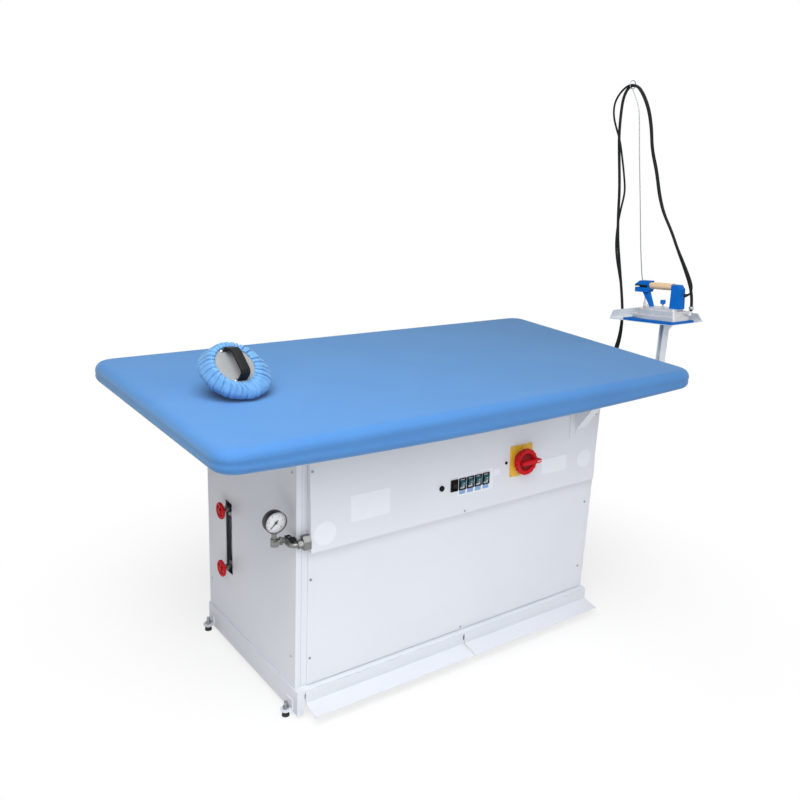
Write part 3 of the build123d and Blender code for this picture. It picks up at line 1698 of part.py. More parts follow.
trigger_high = 4.5
with BuildPart() as iron_trigger:
    with BuildSketch(handle_side.offset(-handle_half - 3)):
        with BuildLine():
            Polyline(
                (slot_end + 1, slot_roof - soft_gap),
                (nose_tip - 1, slot_roof - soft_gap),
                (nose_tip - 1, slot_roof - trigger_high),
                (slot_end + 1, slot_roof - trigger_high),
                close=True,
            )
        make_face()
    extrude(amount=handle_half + 8 + 2)
iron_trigger.part.label = "iron_trigger"
export_step(iron_trigger.part, "parts/iron_trigger.step")

with BuildPart() as iron_knob:
    with BuildSketch(tray_plane(up=iron_knob_low)):
        with Locations((iron_centre, iron_knob_at)):
            Circle(iron_knob_radius)
    extrude(amount=iron_knob_high - iron_knob_low)
    with BuildSketch(tray_plane(up=iron_knob_low)):
        with Locations((iron_centre, iron_knob_at)):
            Circle(knob_stem)
    extrude(amount=-(iron_knob_low - iron_deck) - 12)
iron_knob.part.label = "iron_knob"
export_step(iron_knob.part, "parts/iron_knob.step")

# Glands on the right side where the hose and the cable leave the cabinet
with BuildPart() as hose_glands:
    for y, radius in ((hose_gland_y, hose_radius), (cable_gland_y, cable_radius)):
        with BuildSketch(Plane.YZ.offset(cabinet_right)):
            with Locations((y, gland_height)):
                RegularPolygon(radius + 7, 6, major_radius=False)
        extrude(amount=10)
        with BuildSketch(Plane.YZ.offset(cabinet_right + 10)):
            with Locations((y, gland_height)):
                Circle(radius + 4)
        extrude(amount=gland_length - 10, taper=5)
hose_glands.part.label = "hose_glands"
export_step(hose_glands.part, "parts/hose_glands.step")

# Steam hose: from the iron up through the ring and down behind the tray to its gland
hose_route = [
    (885, -347.2, 1052.3),
    (885, -344.5, 1092),
    (885, -328, 1136),
    (884, -295, 1190),
    (883, -258, 1246),
    (883, -224, 1300),
    (882, -182, 1354),
    (881, -154, 1416),
    (881, -130, 1492),
    (880, -99, 1560),
    (880, -86, 1630),
    (880, -64, 1690),
    (879, -32, 1738),
    (879, -2, 1761),
    (879, 32, 1760),
    (880, 56, 1726),
    (880, 60, 1668),
    (881, 58, 1590),
    (883, 44, 1500),
    (885, 31, 1412),
    (887, 27, 1330),
    (889, 17, 1240),
    (891, -4, 1150),
    (892, -24, 1070),
    (892, -40, 1000),
    (892, -47, 940),
    (890, -46, 880),
    (884, -36, 822),
    (868, -20, 772),
    (836, -2, 732),
    (792, 14, 704),
    (742, 28, 684),
    (692, 38, 672),
    (642, 42, 667),
    (590, 42, 667),
]
cable_route = [
    (861, -331.2, 1102),
    (862, -350, 1106),
    (868, -352, 1131),
    (873, -333, 1160),
    (873, -300, 1206),
    (872, -264, 1254),
    (872, -232, 1304),
    (871, -190, 1352),
    (870, -160, 1412),
    (870, -138, 1484),
    (869, -106, 1556),
    (869, -92, 1626),
    (869, -70, 1686),
    (869, -38, 1734),
    (869, -6, 1762),
    (869, 28, 1762),
    (869, 62, 1738),
    (870, 86, 1702),
    (870, 84, 1660),
    (870, 66, 1622),
    (871, 42, 1580),
    (872, 24, 1524),
    (873, 6, 1462),
    (875, -5, 1408),
    (877, 8, 1350),
    (878, 16, 1290),
    (878, 15, 1226),
    (879, 2, 1170),
    (880, -18, 1118),
    (881, -36, 1066),
    (881, -48, 1010),
    (881, -52, 955),
    (880, -49, 900),
    (876, -38, 846),
    (864, -20, 796),
    (838, 0, 752),
    (800, 22, 718),
    (754, 44, 694),
    (704, 64, 678),
    (648, 78, 667),
    (590, 78, 667),
]


def cord(name, route, radius):
    """A cord's tube on its route, with its bends and its volume printed."""
    points = [(x + board_x, y, z) for x, y, z in route]
    radii = corner_radii(points)
    solid, length = tube(points, radii, radius)
    print(name, "length", round(length), "least bend", round(min(radii), 1), "mm")
    print(name, "radii", [round(bend) for bend in radii])
    print(name, "volume over section times length", round(solid.volume / (pi * radius**2 * length), 4))
    return solid


steam_hose = cord("steam_hose", hose_route, hose_radius)
steam_hose.label = "steam_hose"
export_step(steam_hose, "parts/steam_hose.step")

iron_cable = cord("iron_cable", cable_route, cable_radius)
iron_cable.label = "iron_cable"
export_step(iron_cable, "parts/iron_cable.step")

# Hand pad: a domed cushion in a gathered cover, with a plate and a strap handle
lift = radians(pad_elevation)
turn_to = radians(pad_azimuth)
pad_normal = Vector(cos(lift) * cos(turn_to), cos(lift) * sin(turn_to), sin(lift))
pad_across = Vector(0, 0, 1).cross(pad_normal).normalized()
pad_along = pad_normal.cross(pad_across)
handle_along = (pad_along + pad_across * pad_roll * 0.2).normalized()
pad_plane = Plane(origin=pad_centre, x_dir=handle_along, z_dir=pad_normal)
pad_section = Plane(origin=pad_centre, x_dir=handle_along, z_dir=pad_normal.cross(handle_along))

with BuildPart() as pad_cover:
    with BuildSketch(pad_section):
        with BuildLine():
            rim = (pad_plate_radius + soft_gap, 0)
            widest = (pad_radius, pad_bulge)
            TangentArc(widest, rim, tangent=(0, -1))
            Spline(
                (0, pad_deep),
                (pad_radius * 0.62, pad_deep * 0.86),
                widest,
                tangents=((1, 0), (0, -1)),
            )
            Line((0, pad_deep), (0, pad_plate_thick))
            Line((0, pad_plate_thick), (pad_plate_radius + soft_gap, pad_plate_thick))
            Line((pad_plate_radius + soft_gap, pad_plate_thick), rim)
        make_face()
    revolve(axis=Axis(pad_centre, tuple(pad_normal)), revolution_arc=360)
pad_cover.part.label = "pad_cover"
export_step(pad_cover.part, "parts/pad_cover.step")

with BuildPart() as pad_plate:
    with BuildSketch(pad_plane):
        Circle(pad_plate_radius)
    extrude(amount=-pad_plate_thick)
pad_plate.part.label = "pad_plate"
export_step(pad_plate.part, "parts/pad_plate.step")

with BuildPart() as pad_handle:
    half = pad_handle_long / 2
    inner = half - pad_handle_thick
    with BuildSketch(Plane(origin=pad_centre, x_dir=handle_along, z_dir=handle_along.cross(pad_normal))):
        with BuildLine():
            ThreePointArc((-half, 0), (0, pad_handle_high), (half, 0))
            Line((half, 0), (inner, 0))
            ThreePointArc((inner, 0), (0, pad_handle_high - pad_handle_thick), (-inner, 0))
            Line((-inner, 0), (-half, 0))
        make_face()
    extrude(amount=pad_handle_wide / 2, both=True)
pad_handle.part.label = "pad_handle"
export_step(pad_handle.part, "parts/pad_handle.step")
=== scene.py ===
import math
from math import cos, pi, radians, sin

import bmesh
import bpy
from mathutils import Matrix, Vector, noise


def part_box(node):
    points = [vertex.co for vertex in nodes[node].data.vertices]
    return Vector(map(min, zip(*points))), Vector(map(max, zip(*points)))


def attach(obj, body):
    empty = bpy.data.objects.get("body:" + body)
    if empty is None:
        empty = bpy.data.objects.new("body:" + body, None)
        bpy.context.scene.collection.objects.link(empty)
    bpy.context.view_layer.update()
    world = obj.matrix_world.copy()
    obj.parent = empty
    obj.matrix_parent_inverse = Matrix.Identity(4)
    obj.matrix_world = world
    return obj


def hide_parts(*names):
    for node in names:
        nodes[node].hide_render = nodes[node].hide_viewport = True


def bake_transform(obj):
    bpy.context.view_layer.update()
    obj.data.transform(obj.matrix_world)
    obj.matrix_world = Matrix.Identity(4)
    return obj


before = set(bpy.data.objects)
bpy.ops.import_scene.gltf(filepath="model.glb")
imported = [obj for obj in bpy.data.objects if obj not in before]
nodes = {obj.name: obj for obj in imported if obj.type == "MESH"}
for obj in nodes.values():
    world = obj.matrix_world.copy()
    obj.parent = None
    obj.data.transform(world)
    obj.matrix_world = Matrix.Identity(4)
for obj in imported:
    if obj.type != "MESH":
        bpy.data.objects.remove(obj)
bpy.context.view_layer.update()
print("frame loaded,", len(nodes), "nodes")

mm = 0.001
bandMm = 314  # a wave texture repeats after this many millimetres at a scale of 1


# Small tools for meshes
def addObject(name, data):
    piece = bpy.data.objects.new(name, data)
    bpy.context.scene.collection.objects.link(piece)
    return piece


def meshPiece(name, points, faces, finish, smooth=True):
    mesh = bpy.data.meshes.new(name)
    mesh.from_pydata([tuple(p) for p in points], [], faces)
    mesh.validate()
    shade(mesh, smooth)
    mesh.materials.append(finish)
    return addObject(name, mesh)


def settle(piece, body, slotName, *replaced):  # hides what it stands for and attaches it to its body; slotName is not used
    if replaced:
        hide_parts(*replaced)
    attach(piece, body)
    return piece


def shade(mesh, smooth):
    for face in mesh.polygons:
        face.use_smooth = smooth


def outwards(piece):  # merge doubles and turn every face out
    bm = bmesh.new()
    bm.from_mesh(piece.data)
    bmesh.ops.remove_doubles(bm, verts=bm.verts, dist=0.00001)
    bmesh.ops.recalc_face_normals(bm, faces=bm.faces)
    bm.to_mesh(piece.data)
    bm.free()


def placed(origin, across, out):  # matrix with X along across and Z along out
    z = Vector(out).normalized()
    x = (Vector(across) - z * Vector(across).dot(z)).normalized()
    y = z.cross(x)
    matrix = Matrix((x, y, z)).transposed().to_4x4()
    matrix.translation = Vector(origin)
    return matrix


def joinRings(rings, count):  # faces between rings of points, where a ring of one point is a pole
    faces = []
    for low, high in zip(rings, rings[1:]):
        for step in range(count):
            after = (step + 1) % count
            if len(low) == 1:
                faces.append((low[0], high[after], high[step]))
            elif len(high) == 1:
                faces.append((low[step], low[after], high[0]))
            else:
                faces.append((low[step], low[after], high[after], high[step]))
    return faces


def stackFaces(count, levels):  # a closed stack of rings: its sides, then its low and its high end
    rings = [range(level * count, (level + 1) * count) for level in range(levels)]
    return joinRings(rings, count) + [tuple(reversed(rings[0])), tuple(rings[-1])]


def lathe(name, profile, matrix, finish, segments=64, smooth=True, notch=None):
    # profile is (radius, height) pairs, and notch(radius, angle) is how much a radius loses there
    points, rings = [], []
    for radius, height in profile:
        rings.append([])
        for step in range(segments if radius else 1):
            angle = 2 * pi * step / segments
            reach = radius - notch(radius, angle) if notch else radius
            rings[-1].append(len(points))
            points.append(matrix @ Vector((reach * cos(angle), reach * sin(angle), height)))
    piece = meshPiece(name, points, joinRings(rings, segments), finish, smooth)
    outwards(piece)
    return piece


def screwHead(name, wide, rim, crown, high, matrix, segments):  # crown is where it rounds in
    profile = [(0, 0), (wide, 0), (wide, rim), crown, (0, high)]
    return lathe(name, profile, matrix, zincPlate, segments)


def roundedPlate(name, width, height, thick, corner, edge, matrix, finish):
    # flat plate on the plane of the matrix, its top edge softened
    outline = []
    for cx, cy, start in ((1, 1, 0), (-1, 1, 90), (-1, -1, 180), (1, -1, 270)):
        for step in range(7):
            angle = radians(start + 15 * step)
            x = cx * (width / 2 - corner) + corner * cos(angle)
            y = cy * (height / 2 - corner) + corner * sin(angle)
            outline.append((x, y))
    points = []
    levels = ((0, 0), (0, thick - edge), (edge * 0.3, thick - edge * 0.3), (edge, thick))
    for inset, level in levels:
        shrinkX = (width / 2 - inset) / (width / 2)
        shrinkY = (height / 2 - inset) / (height / 2)
        points += [matrix @ Vector((x * shrinkX, y * shrinkY, level)) for x, y in outline]
    return meshPiece(name, points, stackFaces(len(outline), len(levels)), finish, smooth=False)


def prism(name, outline, half, matrix, finish, bevel, levels):
    # outline in the plane's X and Y, pushed half each way along Z
    points = [matrix @ Vector((x, y, level)) for level in (-half, half) for x, y in outline]
    piece = meshPiece(name, points, stackFaces(len(outline), 2), finish, smooth=False)
    outwards(piece)
    soften(piece, bevel, levels)
    return piece


def soften(piece, width, segments, angle=30):
    modifier = piece.modifiers.new("edges", "BEVEL")
    modifier.width = width
    modifier.segments = segments
    modifier.limit_method = "ANGLE"
    modifier.angle_limit = radians(angle)
    bake(piece)
    shade(piece.data, True)
    piece.data.set_sharp_from_angle(angle=radians(35))


def bake(piece):  # turn the live modifiers into a plain mesh
    depsgraph = bpy.context.evaluated_depsgraph_get()
    result = bpy.data.meshes.new_from_object(piece.evaluated_get(depsgraph))
    piece.modifiers.clear()
    if piece.type == "MESH":
        piece.data = result
        return piece
    name = piece.name
    bpy.data.objects.remove(piece)
    result.name = name
    return addObject(name, result)


def sweepTube(name, line, radius, finish, sides):
    # tube on a line of points, with a UV of metres along and turns around
    count = len(line)
    tangents = []
    for step in range(count):
        before, after = line[max(step - 1, 0)], line[min(step + 1, count - 1)]
        tangents.append((after - before).normalized())
    side = tangents[0].orthogonal().normalized()
    points, along, reach = [], [0.0], 0.0
    for step in range(count):
        side = (side - tangents[step] * side.dot(tangents[step])).normalized()
        other = tangents[step].cross(side)
        if step:
            reach += (line[step] - line[step - 1]).length
            along.append(reach)
        for turn in range(sides):
            angle = 2 * pi * turn / sides
            points.append(line[step] + (side * cos(angle) + other * sin(angle)) * radius)
    piece = meshPiece(name, points, stackFaces(sides, count), finish)
    uv = piece.data.uv_layers.new(name="UVMap")
    for face in piece.data.polygons[:-2]:
        ring, turn = divmod(face.index, sides)
        corners = ((turn, ring), (turn + 1, ring), (turn + 1, ring + 1), (turn, ring + 1))
        for loop, (u, v) in zip(face.loop_indices, corners):
            uv.data[loop].uv = (u / sides, along[v])
    return piece


# Small tools for materials
def linear(text):  # sRGB hex to linear RGBA
    values = [int(text[i : i + 2], 16) / 255 for i in (1, 3, 5)]
    return [v / 12.92 if v <= 0.04045 else ((v + 0.055) / 1.055) ** 2.4 for v in values] + [1.0]


def addNode(tree, kind, settings=None, values=None, links=None):
    node = tree.nodes.new(kind)
    for key, value in (settings or {}).items():
        setattr(node, key, value)
    for key, value in (values or {}).items():
        node.inputs[key].default_value = value
    for key, source in (links or {}).items():
        tree.links.new(source, node.inputs[key])
    return node


def startMaterial(name, hexColour, roughness, **shader):
    material = bpy.data.materials.new(name)
    material.use_nodes = True
    material.diffuse_color = linear(hexColour)
    tree = material.node_tree
    principled = tree.nodes["Principled BSDF"]
    principled.inputs["Base Color"].default_value = linear(hexColour)
    principled.inputs["Roughness"].default_value = roughness
    for key, value in shader.items():
        principled.inputs[key.replace("_", " ")].default_value = value
    return material, tree, principled


def tintAndGrain(tree, principled, hexColour, otherHex, share, height, strength, depth):
    # how each finish ends: two tints mixed for its colour, and a height for its bump
    tints = {6: linear(hexColour), 7: linear(otherHex)}
    tint = addNode(tree, "ShaderNodeMix", {"data_type": "RGBA"}, tints, {0: share})
    tree.links.new(tint.outputs[2], principled.inputs["Base Color"])
    relief = {"Strength": strength, "Distance": depth}
    bump = addNode(tree, "ShaderNodeBump", None, relief, {"Height": height})
    tree.links.new(bump.outputs["Normal"], principled.inputs["Normal"])


times, timesPlus = {"operation": "MULTIPLY"}, {"operation": "MULTIPLY_ADD"}


def makeFinish(
    name, hexColour, otherHex, patchMm, roughness, spread, grainMm, depthMm, stretch=(1, 1, 1), **shader
):
    # two tints in soft patches, uneven gloss, and a grain in the surface
    material, tree, principled = startMaterial(name, hexColour, roughness, **shader)
    where = addNode(tree, "ShaderNodeTexCoord").outputs["Object"]
    laid = addNode(tree, "ShaderNodeMapping", None, {"Scale": stretch}, {"Vector": where}).outputs["Vector"]
    patchy = {"Scale": 1000 / patchMm, "Detail": 4.0, "Roughness": 0.55}
    patches = addNode(tree, "ShaderNodeTexNoise", None, patchy, {"Vector": laid}).outputs["Fac"]
    uneven = {"From Min": 0.3, "From Max": 0.7, "To Min": roughness - spread, "To Max": roughness + spread}
    gloss = addNode(tree, "ShaderNodeMapRange", None, uneven, {"Value": patches})
    tree.links.new(gloss.outputs["Result"], principled.inputs["Roughness"])
    grainy = {"Scale": 1000 / grainMm, "Detail": 3.0, "Roughness": 0.6}
    grain = addNode(tree, "ShaderNodeTexNoise", None, grainy, {"Vector": laid}).outputs["Fac"]
    tintAndGrain(tree, principled, hexColour, otherHex, patches, grain, 1.0, depthMm * mm)
    return material


def makeCloth(name, hexColour, otherHex, threadMm, depthMm, patchMm):
    # plain weave: two crossed sets of threads, and soft patches where it has been pressed
    material, tree, principled = startMaterial(
        name, hexColour, 0.82, Sheen_Weight=0.32, Sheen_Roughness=0.5, Sheen_Tint=linear("#D6F2EC")
    )
    where = addNode(tree, "ShaderNodeTexCoord").outputs["Object"]
    patchy = {"Scale": 1000 / patchMm, "Detail": 5.0, "Roughness": 0.6}
    patches = addNode(tree, "ShaderNodeTexNoise", None, patchy, {"Vector": where}).outputs["Fac"]
    spacing = {"Scale": bandMm / threadMm, "Distortion": 1.2, "Detail": 2.0, "Detail Scale": 1.5}
    threads = {}
    for number, direction in enumerate("XY"):
        bands = {"wave_type": "BANDS", "bands_direction": direction}
        threads[number] = addNode(tree, "ShaderNodeTexWave", bands, spacing, {"Vector": where}).outputs["Fac"]
    woven = addNode(tree, "ShaderNodeMath", times, links=threads).outputs[0]
    lifted = addNode(tree, "ShaderNodeMath", timesPlus, {1: 0.35}, {0: woven, 2: patches}).outputs[0]
    tintAndGrain(tree, principled, hexColour, otherHex, lifted, woven, 0.6, depthMm * mm)
    return material


def makeBraid(name, hexColour, otherHex, strandMm, aroundCount, roughness):
    # woven sleeve: strands that wind both ways round the cord, on its own UV
    material, tree, principled = startMaterial(name, hexColour, roughness, Specular_IOR_Level=0.25)
    where = addNode(tree, "ShaderNodeTexCoord").outputs["UV"]
    parts = addNode(tree, "ShaderNodeSeparateXYZ", links={"Vector": where}).outputs
    strands = {}
    for number, turn in enumerate((1, -1)):
        pitch = {1: 1000 / strandMm * turn}
        along = addNode(tree, "ShaderNodeMath", times, pitch, {0: parts["Y"]}).outputs[0]
        around = {0: parts["X"], 2: along}
        phase = addNode(tree, "ShaderNodeMath", timesPlus, {1: float(aroundCount)}, around).outputs[0]
        swing = addNode(tree, "ShaderNodeMath", times, {1: 2 * pi}, {0: phase}).outputs[0]
        wave = addNode(tree, "ShaderNodeMath", {"operation": "SINE"}, links={0: swing})
        strands[number] = wave.outputs[0]
    crossed = addNode(tree, "ShaderNodeMath", times, links=strands).outputs[0]
    bothWays = {"From Min": -1.0, "From Max": 1.0}
    level = addNode(tree, "ShaderNodeMapRange", None, bothWays, {"Value": crossed}).outputs["Result"]
    tintAndGrain(tree, principled, hexColour, otherHex, level, level, 0.8, 0.0006)
    return material


def makeWood(name, hexColour, otherHex, ringMm, roughness):
    # turned beech: long grain along the grip, with short dark flecks
    material, tree, principled = startMaterial(name, hexColour, roughness)
    where = addNode(tree, "ShaderNodeTexCoord").outputs["Object"]
    drawnOut = {"Scale": (1.0, 0.12, 1.0)}
    long = addNode(tree, "ShaderNodeMapping", None, drawnOut, {"Vector": where}).outputs["Vector"]
    bands = {"wave_type": "BANDS", "bands_direction": "X"}
    growth = {"Scale": bandMm / ringMm, "Distortion": 6.0, "Detail": 3.0, "Detail Scale": 1.2}
    rings = addNode(tree, "ShaderNodeTexWave", bands, growth, {"Vector": long}).outputs["Fac"]
    short = {"Scale": 900.0, "Detail": 2.0}
    flecks = addNode(tree, "ShaderNodeTexNoise", None, short, {"Vector": long}).outputs["Fac"]
    both = addNode(tree, "ShaderNodeMath", times, links={0: rings, 1: flecks}).outputs[0]
    tintAndGrain(tree, principled, hexColour, otherHex, both, both, 0.4, 0.0003)
    return material


# Camera: the photograph's standpoint
def aimCamera():
    view = dict(
        place=(-1.64255, -2.18791, 1.59310), turn=-39.95, tilt=17.41, roll=3.98, lens=40.47,
        shift=(-0.0935, 0.0111),
    )
    turn, tilt, roll = (radians(view[k]) for k in ("turn", "tilt", "roll"))
    ahead = Vector((-sin(turn) * cos(tilt), cos(turn) * cos(tilt), -sin(tilt)))
    flat = Vector((cos(turn), sin(turn), 0))
    rise = flat.cross(ahead)
    right = flat * cos(roll) + rise * sin(roll)
    up = rise * cos(roll) - flat * sin(roll)
    camera = addObject("camera", bpy.data.cameras.new("camera"))
    matrix = Matrix((right, up, -ahead)).transposed().to_4x4()
    matrix.translation = Vector(view["place"])
    camera.matrix_world = matrix
    camera.data.sensor_width = 36
    camera.data.lens = view["lens"]
    camera.data.shift_x, camera.data.shift_y = view["shift"]
    bpy.context.scene.camera = camera


aimCamera()
boardX = (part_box("board_cover")[0].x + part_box("board_cover")[1].x) / 2
print("camera set")

# Finishes, each named for what the real one is
# woven cotton over felt: matt, faint crossed threads drawn at 5 and 3 mm, as the real 0.4 mm can't show
coverCotton = makeCloth("cottonTwillBlue", "#4782C0", "#3D77B7", 5, 0.22, 170)
padCotton = makeCloth("cottonTwillPad", "#6DA2D4", "#568CC2", 3, 0.15, 40)
# polyester powder on steel: satin white with orange peel, drawn at 3 mm
powderWhite = makeFinish("powderCoatWhite", "#E4E7ED", "#DADEE6", 420, 0.40, 0.05, 3, 0.03)
# painted shadow: a grey for the strip that stands in for the shade in the gap beside the corner post
gapShadowGrey = makeFinish("paintedGapShadow", "#9CA2AA", "#90969E", 60, 0.5, 0.05, 3, 0.02)
powderInside = makeFinish("powderCoatShade", "#C9CDD2", "#BEC3C9", 300, 0.5, 0.05, 3, 0.03)
# folded stainless: grey mirror smeared along the rolling direction
stainless = makeFinish(
    "brushedStainless", "#E2E6EB", "#D3D8DE", 40, 0.38, 0.06, 1.2, 0.03, stretch=(0.08, 1, 1), Metallic=0.45
)
# plated, cast and drawn metals: dull grey gloss, broken up by spangle, plating and sand
galvanised = makeFinish("galvanisedSheet", "#B9BDBF", "#A3A8AB", 18, 0.45, 0.08, 6, 0.02, Metallic=1.0)
zincPlate = makeFinish("zincPlatedSteel", "#A8ACAF", "#94999C", 12, 0.34, 0.06, 2, 0.02, Metallic=1.0)
nickelPlate = makeFinish("nickelPlatedBrass", "#8F918F", "#797B79", 14, 0.36, 0.06, 3, 0.02, Metallic=1.0)
castGrey = makeFinish("castAluminium", "#D3D3D4", "#BFC1C3", 16, 0.42, 0.08, 1.6, 0.05, Metallic=0.45)
springSteel = makeFinish("springSteelWire", "#A2A5A7", "#8A8E91", 30, 0.38, 0.05, 2, 0.01, Metallic=1.0)
padSteel = makeFinish("turnedAluminiumDisc", "#939596", "#888A8B", 30, 0.62, 0.06, 1.4, 0.02, Metallic=0.1)
# moulded plastics: even colour with a fine spark-eroded grain that scatters the gloss
lowGloss = dict(Specular_IOR_Level=0.2)
redPlastic = makeFinish("redPolyamide", "#D0141F", "#BC0F19", 22, 0.52, 0.05, 1.2, 0.03, **lowGloss)
# painted shade: a deeper red standing in for the shade that falls in the knob's recessed dish
recessShadeRed = makeFinish("redPolyamideRecessShade", "#8C111A", "#7C0C15", 22, 0.55, 0.05, 1.2, 0.03, **lowGloss)
yellowPlastic = makeFinish("yellowAbs", "#F4C73F", "#E9B932", 60, 0.38, 0.04, 1.2, 0.02)
bluePlastic = makeFinish("bluePhenolic", "#0069C2", "#005DB2", 35, 0.52, 0.06, 1.4, 0.03, **lowGloss)
blackPlastic = makeFinish("blackAbs", "#090B0C", "#101314", 24, 0.55, 0.06, 1.2, 0.03, **lowGloss)
blackSteel = makeFinish("blackEnamelSteel", "#0E1012", "#181A1D", 30, 0.45, 0.05, 2, 0.02)
tealLens = makeFinish("tealPolycarbonate", "#1E5F6B", "#174C58", 14, 0.2, 0.04, 3, 0.01, Coat_Weight=0.5)
whitePlastic = makeFinish("whiteVinylLabel", "#EEF1F6", "#E6EAF1", 50, 0.36, 0.04, 2, 0.01)
skyLabel = makeFinish("skyVinylLabel", "#8EAEDA", "#7FA2D2", 20, 0.38, 0.04, 2, 0.01)
# print and card: flat, no gloss
blackInk = makeFinish("blackPrintInk", "#1B1C1E", "#2A2B2D", 8, 0.6, 0.03, 2, 0.0)
dialCard = makeFinish("whiteDialCard", "#F7F8FB", "#F0F2F6", 20, 0.55, 0.03, 2, 0.01)
# rubber and silicone: soft sheen, slightly dusty
footRubber = makeFinish("blackFootRubber", "#15171A", "#222427", 12, 0.6, 0.06, 1.6, 0.04)
matSilicone = makeFinish("blueSilicone", "#0065B8", "#0059A6", 25, 0.55, 0.06, 1.6, 0.03, **lowGloss)
# woven glass and wool: no gloss at all
boilerJacket = makeFinish("blackGlassCloth", "#060708", "#0D0F10", 20, 0.85, 0.05, 3, 0.1)
insideFelt = makeFinish("woolFelt", "#E4E0D6", "#D8D3C6", 30, 0.95, 0.03, 3, 0.2)
# braided sleeves: strands drawn 7 to 9 mm long, coarser than real so they show
hoseBraid = makeBraid("rubberHoseBraid", "#040506", "#121517", 9, 6, 0.75)
cableBraid = makeBraid("cableSleeveBraid", "#050607", "#141719", 7, 5, 0.8)
beech = makeWood("turnedBeech", "#E2C39C", "#C89B6C", 3.5, 0.48)


def makeGlass():
    # clear glass: thin, so it is left nearly see-through, with a faint smear in its gloss
    material, tree, principled = startMaterial(
        "clearGlass", "#F4FAFB", 0.03, Transmission_Weight=1.0, IOR=1.45, Alpha=0.15
    )
    where = addNode(tree, "ShaderNodeTexCoord").outputs["Object"]
    smeared = {"Scale": 60.0, "Detail": 2.0}
    smear = addNode(tree, "ShaderNodeTexNoise", None, smeared, {"Vector": where}).outputs["Fac"]
    gloss = addNode(tree, "ShaderNodeMapRange", None, {"To Min": 0.02, "To Max": 0.08}, {"Value": smear})
    tree.links.new(gloss.outputs["Result"], principled.inputs["Roughness"])
    return material


clearGlass = makeGlass()

nodesOfFinish = (
    (powderWhite, "base_frame cabinet_frame left_side_panel right_side_panel back_panel lower_front_panel"),
    (powderWhite, "control_box front_bracket left_pedal right_pedal rest_post"),
    (powderInside, "feed_pump switchgear"),
    (stainless, "perforated_plate rest_tray"),
    (galvanised, "board_shell fan_housing fan_impeller suction_duct"),
    (zincPlate, "plate_heater panel_screws foot_studs pedal_rod rod_spring"),
    (nickelPlate, "level_valves boiler_fittings gauge_pipework"),
    (castGrey, "fan_motor iron_body"),
    (springSteel, "hose_rod"),
    (padSteel, "pad_plate"),
    (blackSteel, "gauge_case"),
    (redPlastic, "upper_handwheel lower_handwheel isolator_knob"),
    (yellowPlastic, "isolator_plate"),
    (bluePlastic, "iron_handle iron_knob"),
    (blackPlastic, "valve_lever push_button switch_bezels black_rocker iron_trigger hose_glands pad_handle"),
    (tealLens, "rocker_1 rocker_2 rocker_3 rocker_4"),
    (blackInk, "gauge_needle"),
    (clearGlass, "gauge_glasses"),
    (footRubber, "foot_pads"),
    (matSilicone, "rest_mat"),
    (boilerJacket, "boiler"),
    (insideFelt, "board_pad"),
    (coverCotton, "board_cover"),
    (padCotton, "pad_cover"),
    (hoseBraid, "steam_hose"),
    (cableBraid, "iron_cable"),
    (beech, "wood_grip"),
)
for material, names in nodesOfFinish:
    for piece in [nodes[name] for name in names.split()]:
        if not piece.material_slots:
            piece.data.materials.append(material)
        for slot in piece.material_slots:
            slot.link = "OBJECT"
            slot.material = material
print("finishes set")

# Cords: the routes of the source's own tubes, point by point in millimetres from the board's middle
hoseSizes = dict(radius=0.005, sides=16)
hoseRoute = [
    (885, -347.2, 1052.3), (885, -344.5, 1092), (885, -328, 1136), (884, -295, 1190), (883, -258, 1246),
    (883, -224, 1300), (882, -182, 1354), (881, -154, 1416), (881, -130, 1492), (880, -99, 1560),
    (880, -86, 1630), (880, -64, 1690), (879, -32, 1738), (879, -2, 1761), (879, 32, 1760),
    (880, 56, 1726), (880, 60, 1668), (881, 58, 1590), (883, 44, 1500), (885, 31, 1412),
    (887, 27, 1330), (889, 17, 1240), (891, -4, 1150), (892, -24, 1070), (892, -40, 1000),
    (892, -47, 940), (890, -46, 880), (884, -36, 822), (868, -20, 772), (836, -2, 732),
    (792, 14, 704), (742, 28, 684), (692, 38, 672), (642, 42, 667), (590, 42, 667),
]
cableSizes = dict(radius=0.0035, sides=12)
cableRoute = [
    (861, -331.2, 1102), (862, -350, 1106), (868, -352, 1131), (873, -333, 1160), (873, -300, 1206),
    (872, -264, 1254), (872, -232, 1304), (871, -190, 1352), (870, -160, 1412), (870, -138, 1484),
    (869, -106, 1556), (869, -92, 1626), (869, -70, 1686), (869, -38, 1734), (869, -6, 1762),
    (869, 28, 1762), (869, 62, 1738), (870, 86, 1702), (870, 84, 1660), (870, 66, 1622),
    (871, 42, 1580), (872, 24, 1524), (873, 6, 1462), (875, -5, 1408), (877, 8, 1350),
    (878, 16, 1290), (878, 15, 1226), (879, 2, 1170), (880, -18, 1118), (881, -36, 1066),
    (881, -48, 1010), (881, -52, 955), (880, -49, 900), (876, -38, 846), (864, -20, 796),
    (838, 0, 752), (800, 22, 718), (754, 44, 694), (704, 64, 678), (648, 78, 667), (590, 78, 667),
]


def lineHolder(name, kind, line):  # a curve object on the points of a line
    curve = bpy.data.curves.new(name, "CURVE")
    curve.dimensions = "3D"
    spline = curve.splines.new(kind)
    spline.points.add(len(line) - 1)
    for point, place in zip(spline.points, line):
        point.co = (*place, 1)
    return addObject(name, curve), spline


def routeLine(name, route):  # points along the smooth line of a route
    line = [(x * mm + boardX, y * mm, z * mm) for x, y, z in route]
    holder, spline = lineHolder(name, "NURBS", line)
    holder.data.resolution_u = 8
    spline.order_u = 3
    spline.use_endpoint_u = True
    depsgraph = bpy.context.evaluated_depsgraph_get()
    mesh = bpy.data.meshes.new_from_object(holder.evaluated_get(depsgraph))
    points = [v.co.copy() for v in mesh.vertices]
    bpy.data.objects.remove(holder)
    bpy.data.meshes.remove(mesh)
    return points


